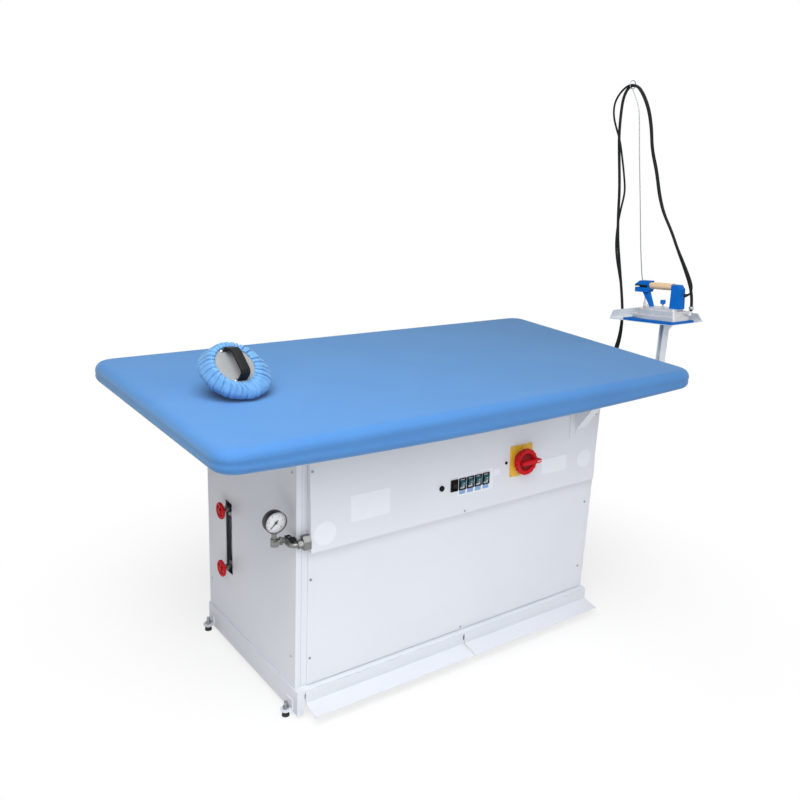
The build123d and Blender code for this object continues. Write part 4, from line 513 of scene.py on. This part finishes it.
def makeCord(name, node, route, sizes, material):
    line = routeLine(name + "Line", route)
    piece = sweepTube(name, line, sizes["radius"], material, sizes["sides"])
    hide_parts(node)
    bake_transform(piece)
    return line


hoseLine = makeCord("steamHose", "steam_hose", hoseRoute, hoseSizes, hoseBraid)
cableLine = makeCord("ironCable", "iron_cable", cableRoute, cableSizes, cableBraid)


# Board cover: a fitted cloth, drawn in under the board
coverSizes = dict(
    corner=0.058, topRound=0.026, underRound=0.020, rise=0.018, hem=0.052, cloth=0.003, step=0.0105,
    wave=0.0009, gather=0.0035, gatherPitch=0.038,
)


def makeBoardCover():
    s = coverSizes
    low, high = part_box("board_cover")
    middle = (low + high) / 2
    halfX, halfY = (high.x - low.x) / 2, (high.y - low.y) / 2
    corner, bend = s["corner"], s["topRound"]

    def gridLines(half):
        near = [bend * (1 - cos(radians(a))) for a in range(0, 90, 15)] + [bend, corner * 0.72]
        inner = half - corner
        count = round(2 * inner / s["step"])
        left = [e - half for e in near]
        across = [-inner + 2 * inner * k / count for k in range(count + 1)]
        return left + across + [-v for v in reversed(left)]

    def onPlan(x, y):  # pulls the square corner's grid into a round one
        overX, overY = max(abs(x) - (halfX - corner), 0), max(abs(y) - (halfY - corner), 0)
        signX, signY = math.copysign(1, x), math.copysign(1, y)
        if overX > 0 and overY > 0:
            fit = max(overX, overY) / math.hypot(overX, overY)
            overX, overY = overX * fit, overY * fit
            x, y = signX * (halfX - corner + overX), signY * (halfY - corner + overY)
            far = math.hypot(overX, overY)
            return x, y, corner - far, signX * overX / far, signY * overY / far
        if halfX - abs(x) < halfY - abs(y):
            return x, y, halfX - abs(x), signX, 0.0
        return x, y, halfY - abs(y), 0.0, signY

    xs, ys = gridLines(halfX), gridLines(halfY)
    points, faces = [], []
    for x in xs:
        for y in ys:
            px, py, edge, _, _ = onPlan(x, y)
            level = high.z - bend + math.sqrt(max(bend * bend - max(bend - edge, 0) ** 2, 0))
            quiet = min(edge / 0.12, 1)
            wave = noise.noise(Vector((px * 5, py * 5, 3.1))) * s["wave"] * quiet
            points.append(Vector((middle.x + px, middle.y + py, level - 0.0006 + wave)))
    wide = len(ys)
    for i in range(len(xs) - 1):
        for j in range(wide - 1):
            faces.append((i * wide + j, (i + 1) * wide + j, (i + 1) * wide + j + 1, i * wide + j + 1))
    border = [(i, 0) for i in range(len(xs) - 1)] + [(len(xs) - 1, j) for j in range(wide - 1)]
    border += [(i, wide - 1) for i in range(len(xs) - 1, 0, -1)] + [(0, j) for j in range(wide - 1, 0, -1)]
    around = [onPlan(xs[i], ys[j]) for i, j in border]
    previous = [i * wide + j for i, j in border]
    count = len(border)

    rings = [("side", t) for t in (0.2, 0.4, 0.6, 0.8, 1.0)]
    rings += [("under", a) for a in (15, 30, 45, 60, 75, 90)]
    rings += [("hem", h) for h in (0.15, 0.35, 0.55, 0.75, 0.9, 1.0)]
    reach = 0.0
    reaches = []
    for step, (px, py, _, _, _) in enumerate(around):
        before = around[step - 1]
        reach += math.hypot(px - before[0], py - before[1])
        reaches.append(reach)
    hemLine = []
    for kind, amount in rings:
        current = []
        for step, (px, py, _, nx, ny) in enumerate(around):
            under = low.z + s["rise"] * (px / halfX) ** 2
            top, bottom = high.z - bend, under + s["underRound"]
            if kind == "side":
                inset = 0.0012 * sin(pi * amount)
                level = top + (bottom - top) * amount
            elif kind == "under":
                turn = radians(amount)
                inset = s["underRound"] * (1 - cos(turn))
                level = under + s["underRound"] * (1 - sin(turn))
            else:
                inset = s["underRound"] + (s["hem"] - s["underRound"]) * amount
                swing = reaches[step] / s["gatherPitch"] * 2 * pi
                swing += 2.4 * noise.noise(Vector((px * 7, py * 7, 8.2)))
                level = under + s["gather"] * amount * (0.5 + 0.5 * sin(swing))
            crease = noise.noise(Vector((px * 16, py * 16, level * 30))) * 0.0007
            inset += abs(crease)
            current.append(len(points))
            points.append(Vector((middle.x + px - nx * inset, middle.y + py - ny * inset, level)))
            if kind == "hem" and amount == 0.75:
                hemLine.append(points[-1] + Vector((0, 0, -0.0003)))
        faces += joinRings((previous, current), count)
        previous = current
    piece = meshPiece("boardCover", points, faces, coverCotton)
    outwards(piece)
    shell = piece.modifiers.new("cloth", "SOLIDIFY")
    shell.thickness = s["cloth"]
    shell.offset = -1
    bake(piece)
    shade(piece.data, True)
    settle(piece, "cabinet", "cover_cloth", "board_cover", "board_pad")
    return hemLine


hemLine = makeBoardCover()
print("board cover made")


# Geometry nodes for what repeats
def startTree(name, inputs):
    tree = bpy.data.node_groups.new(name, "GeometryNodeTree")
    tree.interface.new_socket("Geometry", in_out="INPUT", socket_type="NodeSocketGeometry")
    named = {}
    for label, (kind, value) in inputs.items():
        socket = tree.interface.new_socket(label, in_out="INPUT", socket_type=kind)
        if value is not None:
            socket.default_value = value
        named[label] = socket.identifier
    tree.interface.new_socket("Geometry", in_out="OUTPUT", socket_type="NodeSocketGeometry")
    given = addNode(tree, "NodeGroupInput").outputs
    return tree, given, addNode(tree, "NodeGroupOutput"), named


def endTree(tree, ending, finishSocket, **spots):  # the instance at every point, made real and finished
    row = addNode(tree, "GeometryNodeInstanceOnPoints", links=spots).outputs["Instances"]
    real = addNode(tree, "GeometryNodeRealizeInstances", links={"Geometry": row}).outputs["Geometry"]
    painted = addNode(tree, "GeometryNodeSetMaterial", links={"Geometry": real, "Material": finishSocket})
    tree.links.new(painted.outputs["Geometry"], ending.inputs["Geometry"])


def runTree(holder, tree, named, values):
    modifier = holder.modifiers.new("repeat", "NODES")
    modifier.node_group = tree
    for label, value in values.items():
        modifier[named[label]] = value
    return bake(holder)


stitchTree, given, ending, stitchInputs = startTree(
    "stitchRow",
    {
        "Spacing": ("NodeSocketFloat", 0.006), "Length": ("NodeSocketFloat", 0.004),
        "Thickness": ("NodeSocketFloat", 0.0006), "Thread": ("NodeSocketMaterial", None),
    },
)
marks = addNode(
    stitchTree, "GeometryNodeResampleCurve", {"mode": "LENGTH"},
    links={"Curve": given["Geometry"], "Length": given["Spacing"]},
)
stitch = addNode(
    stitchTree, "GeometryNodeMeshCylinder", values={"Vertices": 5},
    links={"Radius": given["Thickness"], "Depth": given["Length"]},
)
heading = addNode(stitchTree, "GeometryNodeInputTangent").outputs[0]
turned = addNode(stitchTree, "FunctionNodeAlignRotationToVector", {"axis": "Z"}, links={"Vector": heading})
endTree(
    stitchTree, ending, given["Thread"],
    Points=marks.outputs[0], Instance=stitch.outputs["Mesh"], Rotation=turned.outputs[0],
)

stitchValues = {"Spacing": 0.007, "Length": 0.0045, "Thickness": 0.0005, "Thread": whitePlastic}
holder, hemSpline = lineHolder("hemStitches", "POLY", hemLine)
hemSpline.use_cyclic_u = True
settle(runTree(holder, stitchTree, stitchInputs, stitchValues), "cabinet", "cover_cloth")

tickTree, given, ending, tickInputs = startTree(
    "dialTicks",
    {
        "Radius": ("NodeSocketFloat", 0.026), "Count": ("NodeSocketInt", 11),
        "Start": ("NodeSocketFloat", 0.0), "Sweep": ("NodeSocketFloat", 4.71),
        "Size": ("NodeSocketVector", (0.0006, 0.003, 0.0003)), "Ink": ("NodeSocketMaterial", None),
    },
)
arc = addNode(
    tickTree, "GeometryNodeCurveArc", {"mode": "RADIUS"},
    links={
        "Resolution": given["Count"], "Radius": given["Radius"],
        "Start Angle": given["Start"], "Sweep Angle": given["Sweep"],
    },
)
tick = addNode(tickTree, "GeometryNodeMeshCube", links={"Size": given["Size"]})
outward = addNode(tickTree, "GeometryNodeInputPosition").outputs[0]
turned = addNode(tickTree, "FunctionNodeAlignRotationToVector", {"axis": "Y"}, links={"Vector": outward})
endTree(
    tickTree, ending, given["Ink"],
    Points=arc.outputs[0], Instance=tick.outputs["Mesh"], Rotation=turned.outputs[0],
)

ribTree, given, ending, ribInputs = startTree(
    "matRibs",
    {
        "Count": ("NodeSocketInt", 20), "Step": ("NodeSocketVector", (0, 0.01, 0)),
        "Size": ("NodeSocketVector", (0.1, 0.004, 0.001)), "Rubber": ("NodeSocketMaterial", None),
    },
)
rowLine = addNode(ribTree, "GeometryNodeMeshLine", links={"Count": given["Count"], "Offset": given["Step"]})
rib = addNode(ribTree, "GeometryNodeMeshCube", links={"Size": given["Size"]})
endTree(ribTree, ending, given["Rubber"], Points=rowLine.outputs["Mesh"], Instance=rib.outputs["Mesh"])


def repeatPiece(name, tree, named, values, matrix, body, slotName):
    mesh = bpy.data.meshes.new(name)
    mesh.from_pydata([(0, 0, 0)], [], [])
    piece = runTree(addObject(name, mesh), tree, named, values)
    piece.data.transform(matrix)
    settle(piece, body, slotName)


def textPiece(name, words, size, matrix):  # printed in black ink on the cabinet
    curve = bpy.data.curves.new(name, "FONT")
    curve.body = words
    curve.size = size
    curve.extrude = 0.2 * mm
    curve.align_x = "CENTER"
    curve.align_y = "CENTER"
    piece = bake(addObject(name, curve))
    piece.data.transform(matrix)
    piece.data.materials.clear()
    piece.data.materials.append(blackInk)
    settle(piece, "cabinet", "black_plastic")


print("stitches and repeats ready")

# Hand pad: gathered cover, plate and strap handle
padSizes = dict(
    centre=(-0.6146, -0.0726, 0.9663), elevation=46.7, azimuth=-80.3, roll=0.0238, segments=480, between=3,
    creases=31, creaseDepth=6.2, puff=1.9, lay=-14.45, drop=8.0, slide=(12.2, 11.5), spread=1.07, deep=1.04,
    rest=880.8, restRound=9.2, elastic=57, outerRing=17, handleHalf=13, screwAcross=46, screwAside=16.5,
)


def padBasis():
    lift, turn = radians(padSizes["elevation"]), radians(padSizes["azimuth"])
    out = Vector((cos(lift) * cos(turn), cos(lift) * sin(turn), sin(lift)))
    across = Vector((0, 0, 1)).cross(out).normalized()
    along = (out.cross(across) + across * padSizes["roll"]).normalized()
    centre = Vector(padSizes["centre"]) + Vector((boardX, 0, 0))
    return centre, along, out


def easeStep(t):
    t = min(max(t, 0), 1)
    return t * t * (3 - 2 * t)


def padLift(angle, index):  # creases that run out from the elastic, each with its own depth and reach
    p = padSizes
    out = (index - 5) / 12
    spot = Vector((cos(angle) * 2.6, sin(angle) * 2.6, 0.4 + out * 0.5))
    phase = p["creases"] / 2 * angle + 1.5 * noise.noise(spot) + 0.6 * noise.noise(spot * 2.7)
    crease = round(phase / pi) % p["creases"]
    own = 0.5 + 0.5 * noise.noise(Vector((crease * 3.7, 1.3, 5.1))) * 1.8
    reach = 0.38 + 0.60 * (0.5 + noise.noise(Vector((crease * 2.9, 7.7, 0.2))))
    valley = math.exp(-((sin(phase) / 0.30) ** 2))
    rise = easeStep((index - 3.5) / 2.5)
    fade = 1 - easeStep((out - reach) / 0.45)
    small = noise.noise(Vector((cos(angle) * 15, sin(angle) * 15, index * 0.45)))
    drape = noise.noise(Vector((cos(angle) * 2.2, sin(angle) * 2.2, index * 0.12 + 3)))
    folds = p["puff"] * fade * (1 - valley) - p["creaseDepth"] * own * fade * valley
    return rise * (folds + 0.9 * small + 3.2 * drape * out)


def makePadCover():
    p = padSizes
    centre, along, out = padBasis()
    side = out.cross(along)
    level = Vector((0, 0, 1)).cross(out).normalized()
    profile = [
        (0, 5.2), (40, 5.2), (57.3, 5.2), (57.3, 0.0), (54.8, -0.3), (54.6, -1.6), (56.0, -3.4), (58.6, -4.4),
        (61.0, -4.0), (64.0, -5.2), (68.0, -5.6), (73.0, -4.0), (78.5, -0.6), (84.0, 4.2), (89.0, 10.5),
        (91.8, 18.0), (91.0, 25.0), (87.0, 33.0), (80.0, 40.5), (70.0, 47.0), (58.0, 51.8), (44.0, 55.3),
        (28.0, 57.3), (12.0, 58.0), (0, 58.0),
    ]
    widest = max(range(len(profile)), key=lambda i: profile[i][0])
    count, between = p["segments"], p["between"]
    smooth = []  # the same outline with rounded steps between its points
    for index in range(len(profile) - 1):
        a, b, c, d = (Vector(profile[min(max(index + k, 0), len(profile) - 1)]) for k in (-1, 0, 1, 2))
        for k in range(between):
            t = k / between
            square, cube = (2 * a - 5 * b + 4 * c - d) * t**2, (3 * b - a - 3 * c + d) * t**3
            smooth.append(0.5 * (2 * b + (c - a) * t + square + cube))
    smooth.append(Vector(profile[-1]))
    points, rings = [], []
    for order, (radius, depth) in enumerate(smooth):
        index = order / between
        share = 1.0 if index > widest else easeStep((radius - p["elastic"]) / 35)
        tip = Matrix.Rotation(radians(p["lay"]) * share, 3, level)
        shift = centre + Vector((p["slide"][0], p["slide"][1], -p["drop"])) * mm * share
        run = (smooth[min(order + 1, len(smooth) - 1)] - smooth[max(order - 1, 0)]).normalized()
        radius = 0 if radius < 0.01 else radius
        ring = []
        for step in range(count if radius else 1):
            angle = 2 * pi * step / count
            lift = padLift(angle, index) if 4 <= index <= p["outerRing"] else 0.0
            r, d = radius + run.y * lift, (depth - run.x * lift) * p["deep"]
            if r > p["elastic"]:
                r = p["elastic"] + (r - p["elastic"]) * p["spread"]
            flat = along * cos(angle) + side * sin(angle)
            spot = shift + tip @ (flat * r * mm - out * d * mm)
            over = spot.z / mm - p["rest"] - p["restRound"]
            if over < 0:  # the cushion goes flat where it lies on the board
                spot.z = (p["rest"] + p["restRound"] * math.exp(over / p["restRound"])) * mm
            ring.append(len(points))
            points.append(spot)
        rings.append(ring)
    piece = meshPiece("padCover", points, joinRings(rings, count), padCotton)
    outwards(piece)
    settle(piece, "hand_pad", "cover_cloth", "pad_cover")


makePadCover()


def makePadHandle():
    centre, along, out = padBasis()
    outline = [
        (-50, 0), (-50, 12), (-47, 28), (-37, 35.5), (16, 36.5), (33, 31.5), (49.5, 11), (50, 0), (42, 0),
        (41.5, 8.5), (29, 24.5), (14.5, 29), (-34, 28), (-40, 23), (-42.5, 11), (-42, 0),
    ]
    outline = [(x * mm, y * mm) for x, y in outline]
    p = padSizes
    matrix = placed(centre, along, along.cross(out))
    piece = prism("padHandle", outline, p["handleHalf"] * mm, matrix, blackPlastic, bevel=0.0020, levels=3)
    settle(piece, "hand_pad", "black_plastic", "pad_handle")
    for number, place in enumerate((-p["screwAcross"], p["screwAcross"])):
        spot = placed(centre + along * place * mm, along, out)
        spot = spot @ Matrix.Translation((0.0, p["screwAside"] * mm, 0))
        screw = screwHead(f"padScrew{number}", 0.0062, 0.0006, (0.004, 0.0018), 0.002, spot, 20)
        settle(screw, "hand_pad", "zinc_steel")


makePadHandle()
print("hand pad made")

# Pressure gauge
gaugeSizes = dict(x=-0.597, y=-0.275, z=0.594, dial=0.0287, card=-0.0072, numbers=0.0186, numberSize=0.0054)


def makeGauge():
    g = gaugeSizes
    face = placed((g["x"] + boardX, g["y"], g["z"]), (1, 0, 0), (0, -1, 0))
    caseProfile = [
        (0, -0.030), (0.0255, -0.030), (0.0290, -0.0275), (0.0300, -0.024), (0.0303, -0.0050),
        (0.0299, -0.0043), (0.0293, -0.0046), (0.0288, -0.0080), (0, -0.0080),
    ]
    settle(lathe("gaugeCase", caseProfile, face, blackSteel, 72), "cabinet", "zinc_steel", "gauge_case")
    cardProfile = [(0, -0.0079), (g["dial"], -0.0079), (g["dial"], g["card"]), (0, g["card"])]
    settle(lathe("gaugeDial", cardProfile, face, dialCard, 72), "cabinet", "white_plastic")
    printed = face @ Matrix.Translation((0, 0, g["card"] + 0.0002))
    for name, count, radius, size in (
        ("dialTicksMain", 11, 0.0248, (0.0006, 0.0034, 0.0003)),
        ("dialTicksFine", 51, 0.0259, (0.0003, 0.0015, 0.0003)),
    ):
        values = {
            "Radius": radius, "Count": count, "Start": radians(-45), "Sweep": radians(270),
            "Size": size, "Ink": blackInk,
        }
        repeatPiece(name, tickTree, tickInputs, values, printed, "cabinet", "black_plastic")
    for number, words in enumerate(("0", "2", "4", "6", "8", "10")):
        angle = radians(225 - 54 * number)
        x, y = g["numbers"] * cos(angle), g["numbers"] * sin(angle)
        spot = face @ Matrix.Translation((x, y, g["card"] + 0.0001))
        textPiece(f"dialNumber{number}", words, g["numberSize"], spot)
    hubProfile = [(0, -0.0054), (0.0030, -0.0054), (0.0027, -0.0044), (0, -0.0042)]
    settle(lathe("needleHub", hubProfile, face, blackSteel, 24), "gauge_needle", "black_plastic")


makeGauge()
print("gauge made")

# Control box, in millimetres: places are from the board's middle and up from the floor
boxSizes = dict(
    foot=(-305, 501), lean=(15, 297), isolator=(210, 628), plateScrew=(39, 44),
    rockers=(-16.5, 595), pitch=29.5,
)


def onFace(x, z, out=0.0):  # X right, Y up the leaning face, Z off it
    back, rise = boxSizes["lean"]
    lean = math.atan2(back, rise)
    y = boxSizes["foot"][0] + (z - boxSizes["foot"][1]) * back / rise
    matrix = placed((x * mm + boardX, y * mm, z * mm), (1, 0, 0), (0, -cos(lean), sin(lean)))
    return matrix @ Matrix.Translation((0, 0, out * mm))


labels = [
    ("labelLeft", -332, 598, 124, 75, 3, 0.35, 0, whitePlastic),
    ("labelRight", 355, 585, 108, 50, 3, 0.35, 0, whitePlastic),
    ("switchLabel", 32.5, 591, 133, 66, 2, 0.25, 0, whitePlastic),
    ("ratingLabel", 115, 606, 24, 20, 1.5, 0.35, 0, whitePlastic),
]
for number in range(4):
    x = boxSizes["rockers"][0] + boxSizes["pitch"] * number
    labels.append((f"rockerStrip{number}", x, 570, 22, 13, 0.8, 0.35, 0.26, skyLabel))
for name, x, z, width, height, corner, thick, out, material in labels:
    edge = min(0.1, thick / 3)
    sizes = [value * mm for value in (width, height, thick, corner, edge)]
    settle(roundedPlate(name, *sizes, onFace(x, z, out), material), "cabinet", "white_plastic")
for name, x, z, radius in (("roundLabelLeft", -473, 548, 0.033), ("roundLabelRight", 489, 582, 0.030)):
    disc = [(0, 0), (radius, 0), (radius, 0.0003), (0, 0.00035)]
    settle(lathe(name, disc, onFace(x, z), whitePlastic, 48, smooth=False), "cabinet", "white_plastic")
lens = [(0, 0), (0.005, 0), (0.005, 0.0015), (0.0035, 0.003), (0, 0.0035)]
settle(lathe("lampLens", lens, onFace(151, 628), blackPlastic, 28), "cabinet", "black_plastic")

lowerPanel = placed((boardX + 27 * mm, -0.284, 0.097), (1, 0, 0), (0, -1, 0))
for name, spot in (("catchScrewTop", onFace(-4, 508)), ("catchScrewLow", lowerPanel)):
    settle(screwHead(name, 0.0036, 0.0006, (0.0026, 0.0016), 0.0018, spot, 20), "cabinet", "zinc_steel")

seamShadowStrip = roundedPlate(  # painted shadow: a grey strip where the side panel's folded edge ends on the corner post, standing in for the shade of the gap
    "postSeamShadow", 3.2 * mm, 706 * mm, 0.3 * mm, 0.8 * mm, 0.1 * mm,
    placed((boardX - 0.531, -0.280, 0.443), (1, 0, 0), (0, -1, 0)), gapShadowGrey,
)
settle(seamShadowStrip, "cabinet", "white_paint")


def makeIsolator():
    x, z = boxSizes["isolator"]
    base = onFace(x, z, 3.3)

    def notch(radius, angle):  # sixteen finger dents in the wide rim
        return 0.0019 * (0.5 + 0.5 * cos(16 * angle)) ** 4 if radius > 0.036 else 0

    rimProfile = [
        (0, 0), (0.0285, 0), (0.0295, 0.001), (0.0295, 0.0130), (0.0390, 0.0140), (0.0408, 0.0155),
        (0.0410, 0.0260), (0.0398, 0.0280), (0.0295, 0.0280), (0.0275, 0.0265), (0.0268, 0.0242), (0, 0.0242),
    ]
    rim = lathe("knobRim", rimProfile, base, redPlastic, 256, notch=notch)
    rim.data.set_sharp_from_angle(angle=radians(38))
    settle(rim, "isolator", "red_plastic", "isolator_knob")
    # the recessed dish in a deeper red, painted shade in the hollow
    dishProfile = [(0, 0.0243), (0.0262, 0.0243), (0.0262, 0.0247), (0, 0.0247)]
    settle(lathe("knobDish", dishProfile, base, recessShadeRed, 64), "isolator", "red_plastic")
    for name, start, long, width, floor, high, material, slotName in (
        ("knobGrip", 0.0123, 0.0775, 0.0136, 0.0242, 0.0380, redPlastic, "red_plastic"),
        ("knobMark", 0.0400, 0.0150, 0.0024, 0.0379, 0.0383, whitePlastic, "white_plastic"),
    ):
        spot = base @ Matrix.Translation((start, 0, floor))
        edge = min(0.0012, (high - floor) / 3)
        bar = roundedPlate(name, long, width, high - floor, width * 0.48, edge, spot, material)
        if name == "knobGrip":
            soften(bar, 0.0010, 2, 25)
        settle(bar, "isolator", slotName)
    across, up = boxSizes["plateScrew"]
    for number, (right, top) in enumerate(((-1, 1), (1, 1), (-1, -1), (1, -1))):
        spot = onFace(x + right * across, z + top * up, 3.0)
        screw = screwHead(f"plateScrew{number}", 0.0026, 0.0004, (0.0019, 0.0011), 0.0013, spot, 18)
        settle(screw, "cabinet", "zinc_steel")
    textPiece("markOff", "0", 0.0072, onFace(x, z + 45.3, 3.05))
    textPiece("markOn", "1", 0.0072, onFace(x + 33, z + 30, 3.05))


makeIsolator()


def rockerMarks():  # bar on the upper half, ring on the lower half, as on any rocker
    lean = radians(8)
    x, z = boxSizes["rockers"]
    for number in range(1, 5):
        pivot = onFace(x + boxSizes["pitch"] * (number - 1), z, -1) @ Matrix.Rotation(lean, 4, "X")
        top, bottom = (pivot @ Matrix.Translation((0, up, 0.0080)) for up in (0.0042, -0.0042))
        bar = roundedPlate(f"rockerOn{number}", 0.0011, 0.0042, 0.0004, 0.0003, 0.0001, top, whitePlastic)
        ringProfile = [(0.0015, 0), (0.0023, 0), (0.0023, 0.0004), (0.0015, 0.0004), (0.0015, 0)]
        ring = lathe(f"rockerOff{number}", ringProfile, bottom, whitePlastic, 24)
        for mark in (bar, ring):
            settle(mark, f"rocker_{number}", "white_plastic")


rockerMarks()
print("control box dressed")

# Iron and its rest
traySizes = dict(
    near=0.800, front=(-0.339, 1.006), tilt=6.3, matWide=0.122, matLong=0.213, matThick=0.008,
    rib=0.0008, ribs=26,
)


def onTray(along, up, across):  # X outwards, Y to the back along the floor, Z off it
    lean = radians(traySizes["tilt"])
    y = traySizes["front"][0] + along * mm * cos(lean) + up * mm * sin(lean)
    z = traySizes["front"][1] - along * mm * sin(lean) + up * mm * cos(lean)
    origin = (boardX + traySizes["near"] + across * mm, y, z)
    return placed(origin, (1, 0, 0), (0, sin(lean), cos(lean)))


def makeMat():
    s = traySizes
    flat = s["matThick"] - s["rib"]
    halfLong, halfWide = s["matLong"] / 2 / mm, s["matWide"] / 2 / mm
    spot = onTray(halfLong, 2, halfWide)
    mat = roundedPlate("restMat", s["matWide"], s["matLong"], flat, 0.004, 0.001, spot, matSilicone)
    settle(mat, "cabinet", "blue_rubber", "rest_mat")
    values = {
        "Count": s["ribs"], "Step": (0, (s["matLong"] - 0.016) / (s["ribs"] - 1), 0),
        "Size": (s["matWide"] - 0.010, 0.0040, 0.0015), "Rubber": matSilicone,
    }
    ribStart = onTray(8, 2 + flat / mm, halfWide)
    repeatPiece("matRibs", ribTree, ribInputs, values, ribStart, "cabinet", "blue_rubber")


makeMat()


def makeGrip():
    start = onTray(44, 121.5, 61)
    axis = start.col[1].to_3d()
    matrix = placed(start.translation, (1, 0, 0), axis)
    length = 0.098
    profile = [(0, 0.0), (0.0095, 0.0), (0.0108, 0.0012)]
    for step in range(13):
        t = step / 12
        profile.append((0.0110 + 0.0009 * sin(pi * t), 0.003 + (length - 0.006) * t))
    profile += [(0.0108, length - 0.0012), (0.0095, length), (0, length)]
    settle(lathe("woodGrip", profile, matrix, beech, 48), "iron", "grip_wood", "wood_grip")
    for number, low in enumerate((0.0, length - 0.002)):
        high = low + 0.002
        ringProfile = [(0.0114, low), (0.0121, low), (0.0121, high), (0.0114, high), (0.0114, low)]
        settle(lathe(f"gripRing{number}", ringProfile, matrix, zincPlate, 40), "iron", "zinc_steel")


makeGrip()


def makeIronKnob():
    low = onTray(88, 62, 61)
    teeth = []
    for step in range(96):
        angle = 2 * pi * step / 96
        radius = 0.009 - 0.0007 * (0.5 + 0.5 * cos(12 * angle)) ** 3
        teeth.append((radius * cos(angle), radius * sin(angle)))
    middle = low @ Matrix.Translation((0, 0, 0.0070))
    knob = prism("ironKnob", teeth, 0.0066, middle, bluePlastic, bevel=0.0009, levels=2)
    settle(knob, "iron_knob", "blue_plastic")
    stemProfile = [(0, -0.022), (0.003, -0.022), (0.003, 0.0005), (0, 0.0005)]
    stem = lathe("ironKnobStem", stemProfile, low, zincPlate, 20)
    settle(stem, "iron_knob", "zinc_steel", "iron_knob")


makeIronKnob()


def makeCordEnds():
    # moulded sleeve where the cable leaves the handle, and the hose's clamp on its inlet
    sleeveProfile = [
        (0, -0.0005), (0.0062, -0.0005), (0.0062, 0.0025), (0.0050, 0.004), (0.0044, 0.010), (0.0038, 0.012),
        (0, 0.012),
    ]
    root = placed(cableLine[0], (1, 0, 0), (cableLine[3] - cableLine[0]).normalized())
    settle(lathe("cableSleeve", sleeveProfile, root, blackPlastic, 24), "iron", "black_plastic")
    clampProfile = [
        (0.0052, 0.004), (0.0074, 0.004), (0.0078, 0.005), (0.0078, 0.013), (0.0074, 0.014), (0.0052, 0.014),
        (0.0052, 0.004),
    ]
    inlet = placed(hoseLine[0], (1, 0, 0), hoseLine[4] - hoseLine[0])
    settle(lathe("hoseClamp", clampProfile, inlet, zincPlate, 36), "iron", "zinc_steel")


makeCordEnds()
print("iron dressed")


# Floor, lamps and world
def seenDirectly(tree):  # rays that should meet a white studio: the eye, gloss and glass
    rays = addNode(tree, "ShaderNodeLightPath").outputs
    seen = rays["Is Camera Ray"]
    for ray in ("Is Glossy Ray", "Is Transmission Ray"):
        either = {0: seen, 1: rays[ray]}
        seen = addNode(tree, "ShaderNodeMath", {"operation": "MAXIMUM"}, links=either).outputs[0]
    return seen


def makeFloor():
    # matt white paper: lit and shadowed near the table, fading to plain white further out
    material, tree, principled = startMaterial("mattPaperSweep", "#FBFBFC", 0.95, Specular_IOR_Level=0.1)
    where = addNode(tree, "ShaderNodeTexCoord").outputs["Object"]
    away = addNode(tree, "ShaderNodeVectorMath", {"operation": "LENGTH"}, links={0: where}).outputs["Value"]
    reach = {"From Min": 0.45, "From Max": 1.5, "To Min": 0.72, "To Max": 1.0}
    fade = addNode(tree, "ShaderNodeMapRange", {"interpolation_type": "SMOOTHSTEP"}, reach, {"Value": away})
    both = {0: fade.outputs["Result"], 1: seenDirectly(tree)}
    share = addNode(tree, "ShaderNodeMath", times, links=both).outputs[0]
    white = addNode(tree, "ShaderNodeEmission", values={"Strength": 1.0}).outputs[0]
    mix = addNode(tree, "ShaderNodeMixShader", links={0: share, 1: principled.outputs[0], 2: white})
    tree.links.new(mix.outputs[0], tree.nodes["Material Output"].inputs["Surface"])
    mesh = bpy.data.meshes.new("floor")
    mesh.from_pydata([(-30, -30, 0), (30, -30, 0), (30, 30, 0), (-30, 30, 0)], [], [(0, 1, 2, 3)])
    mesh.materials.append(material)
    addObject("floor", mesh)


def makeLamps():
    world = bpy.data.worlds.new("studio")
    bpy.context.scene.world = world
    world.use_nodes = True
    tree = world.node_tree
    light = tree.nodes["Background"]
    light.inputs["Color"].default_value = (0.96, 0.98, 1.0, 1)
    light.inputs["Strength"].default_value = 0.06
    plain = {"Color": (1, 1, 1, 1), "Strength": 1.0}
    white = addNode(tree, "ShaderNodeBackground", values=plain).outputs[0]
    mix = addNode(tree, "ShaderNodeMixShader", links={0: seenDirectly(tree), 1: light.outputs[0], 2: white})
    tree.links.new(mix.outputs[0], tree.nodes["World Output"].inputs["Surface"])
    for name, place, aim, size, power in (
        ("key", (-1.6, -1.6, 3.6), (-0.3, 0, 0.8), 2.6, 118),
        ("overhead", (0.3, 0.2, 4.2), (0, 0, 0.8), 3.0, 9),
        ("overLeft", (-1.0, -0.6, 2.4), (-0.85, -0.35, 0.88), 1.3, 15.5),
        ("front", (1.6, -4.2, 2.4), (0, 0, 0.5), 3.2, 43),
        ("frontLeft", (-2.6, -4.0, 2.6), (0, 0, 0.5), 2.5, 46),
    ):
        lamp = addObject(name, bpy.data.lights.new(name, "AREA"))
        lamp.data.size = size
        lamp.data.energy = power
        lamp.location = place
        lamp.rotation_euler = (Vector(aim) - Vector(place)).to_track_quat("-Z", "Y").to_euler()
    bpy.context.scene.view_settings.view_transform = "Standard"


makeFloor()
makeLamps()
print("stage set")
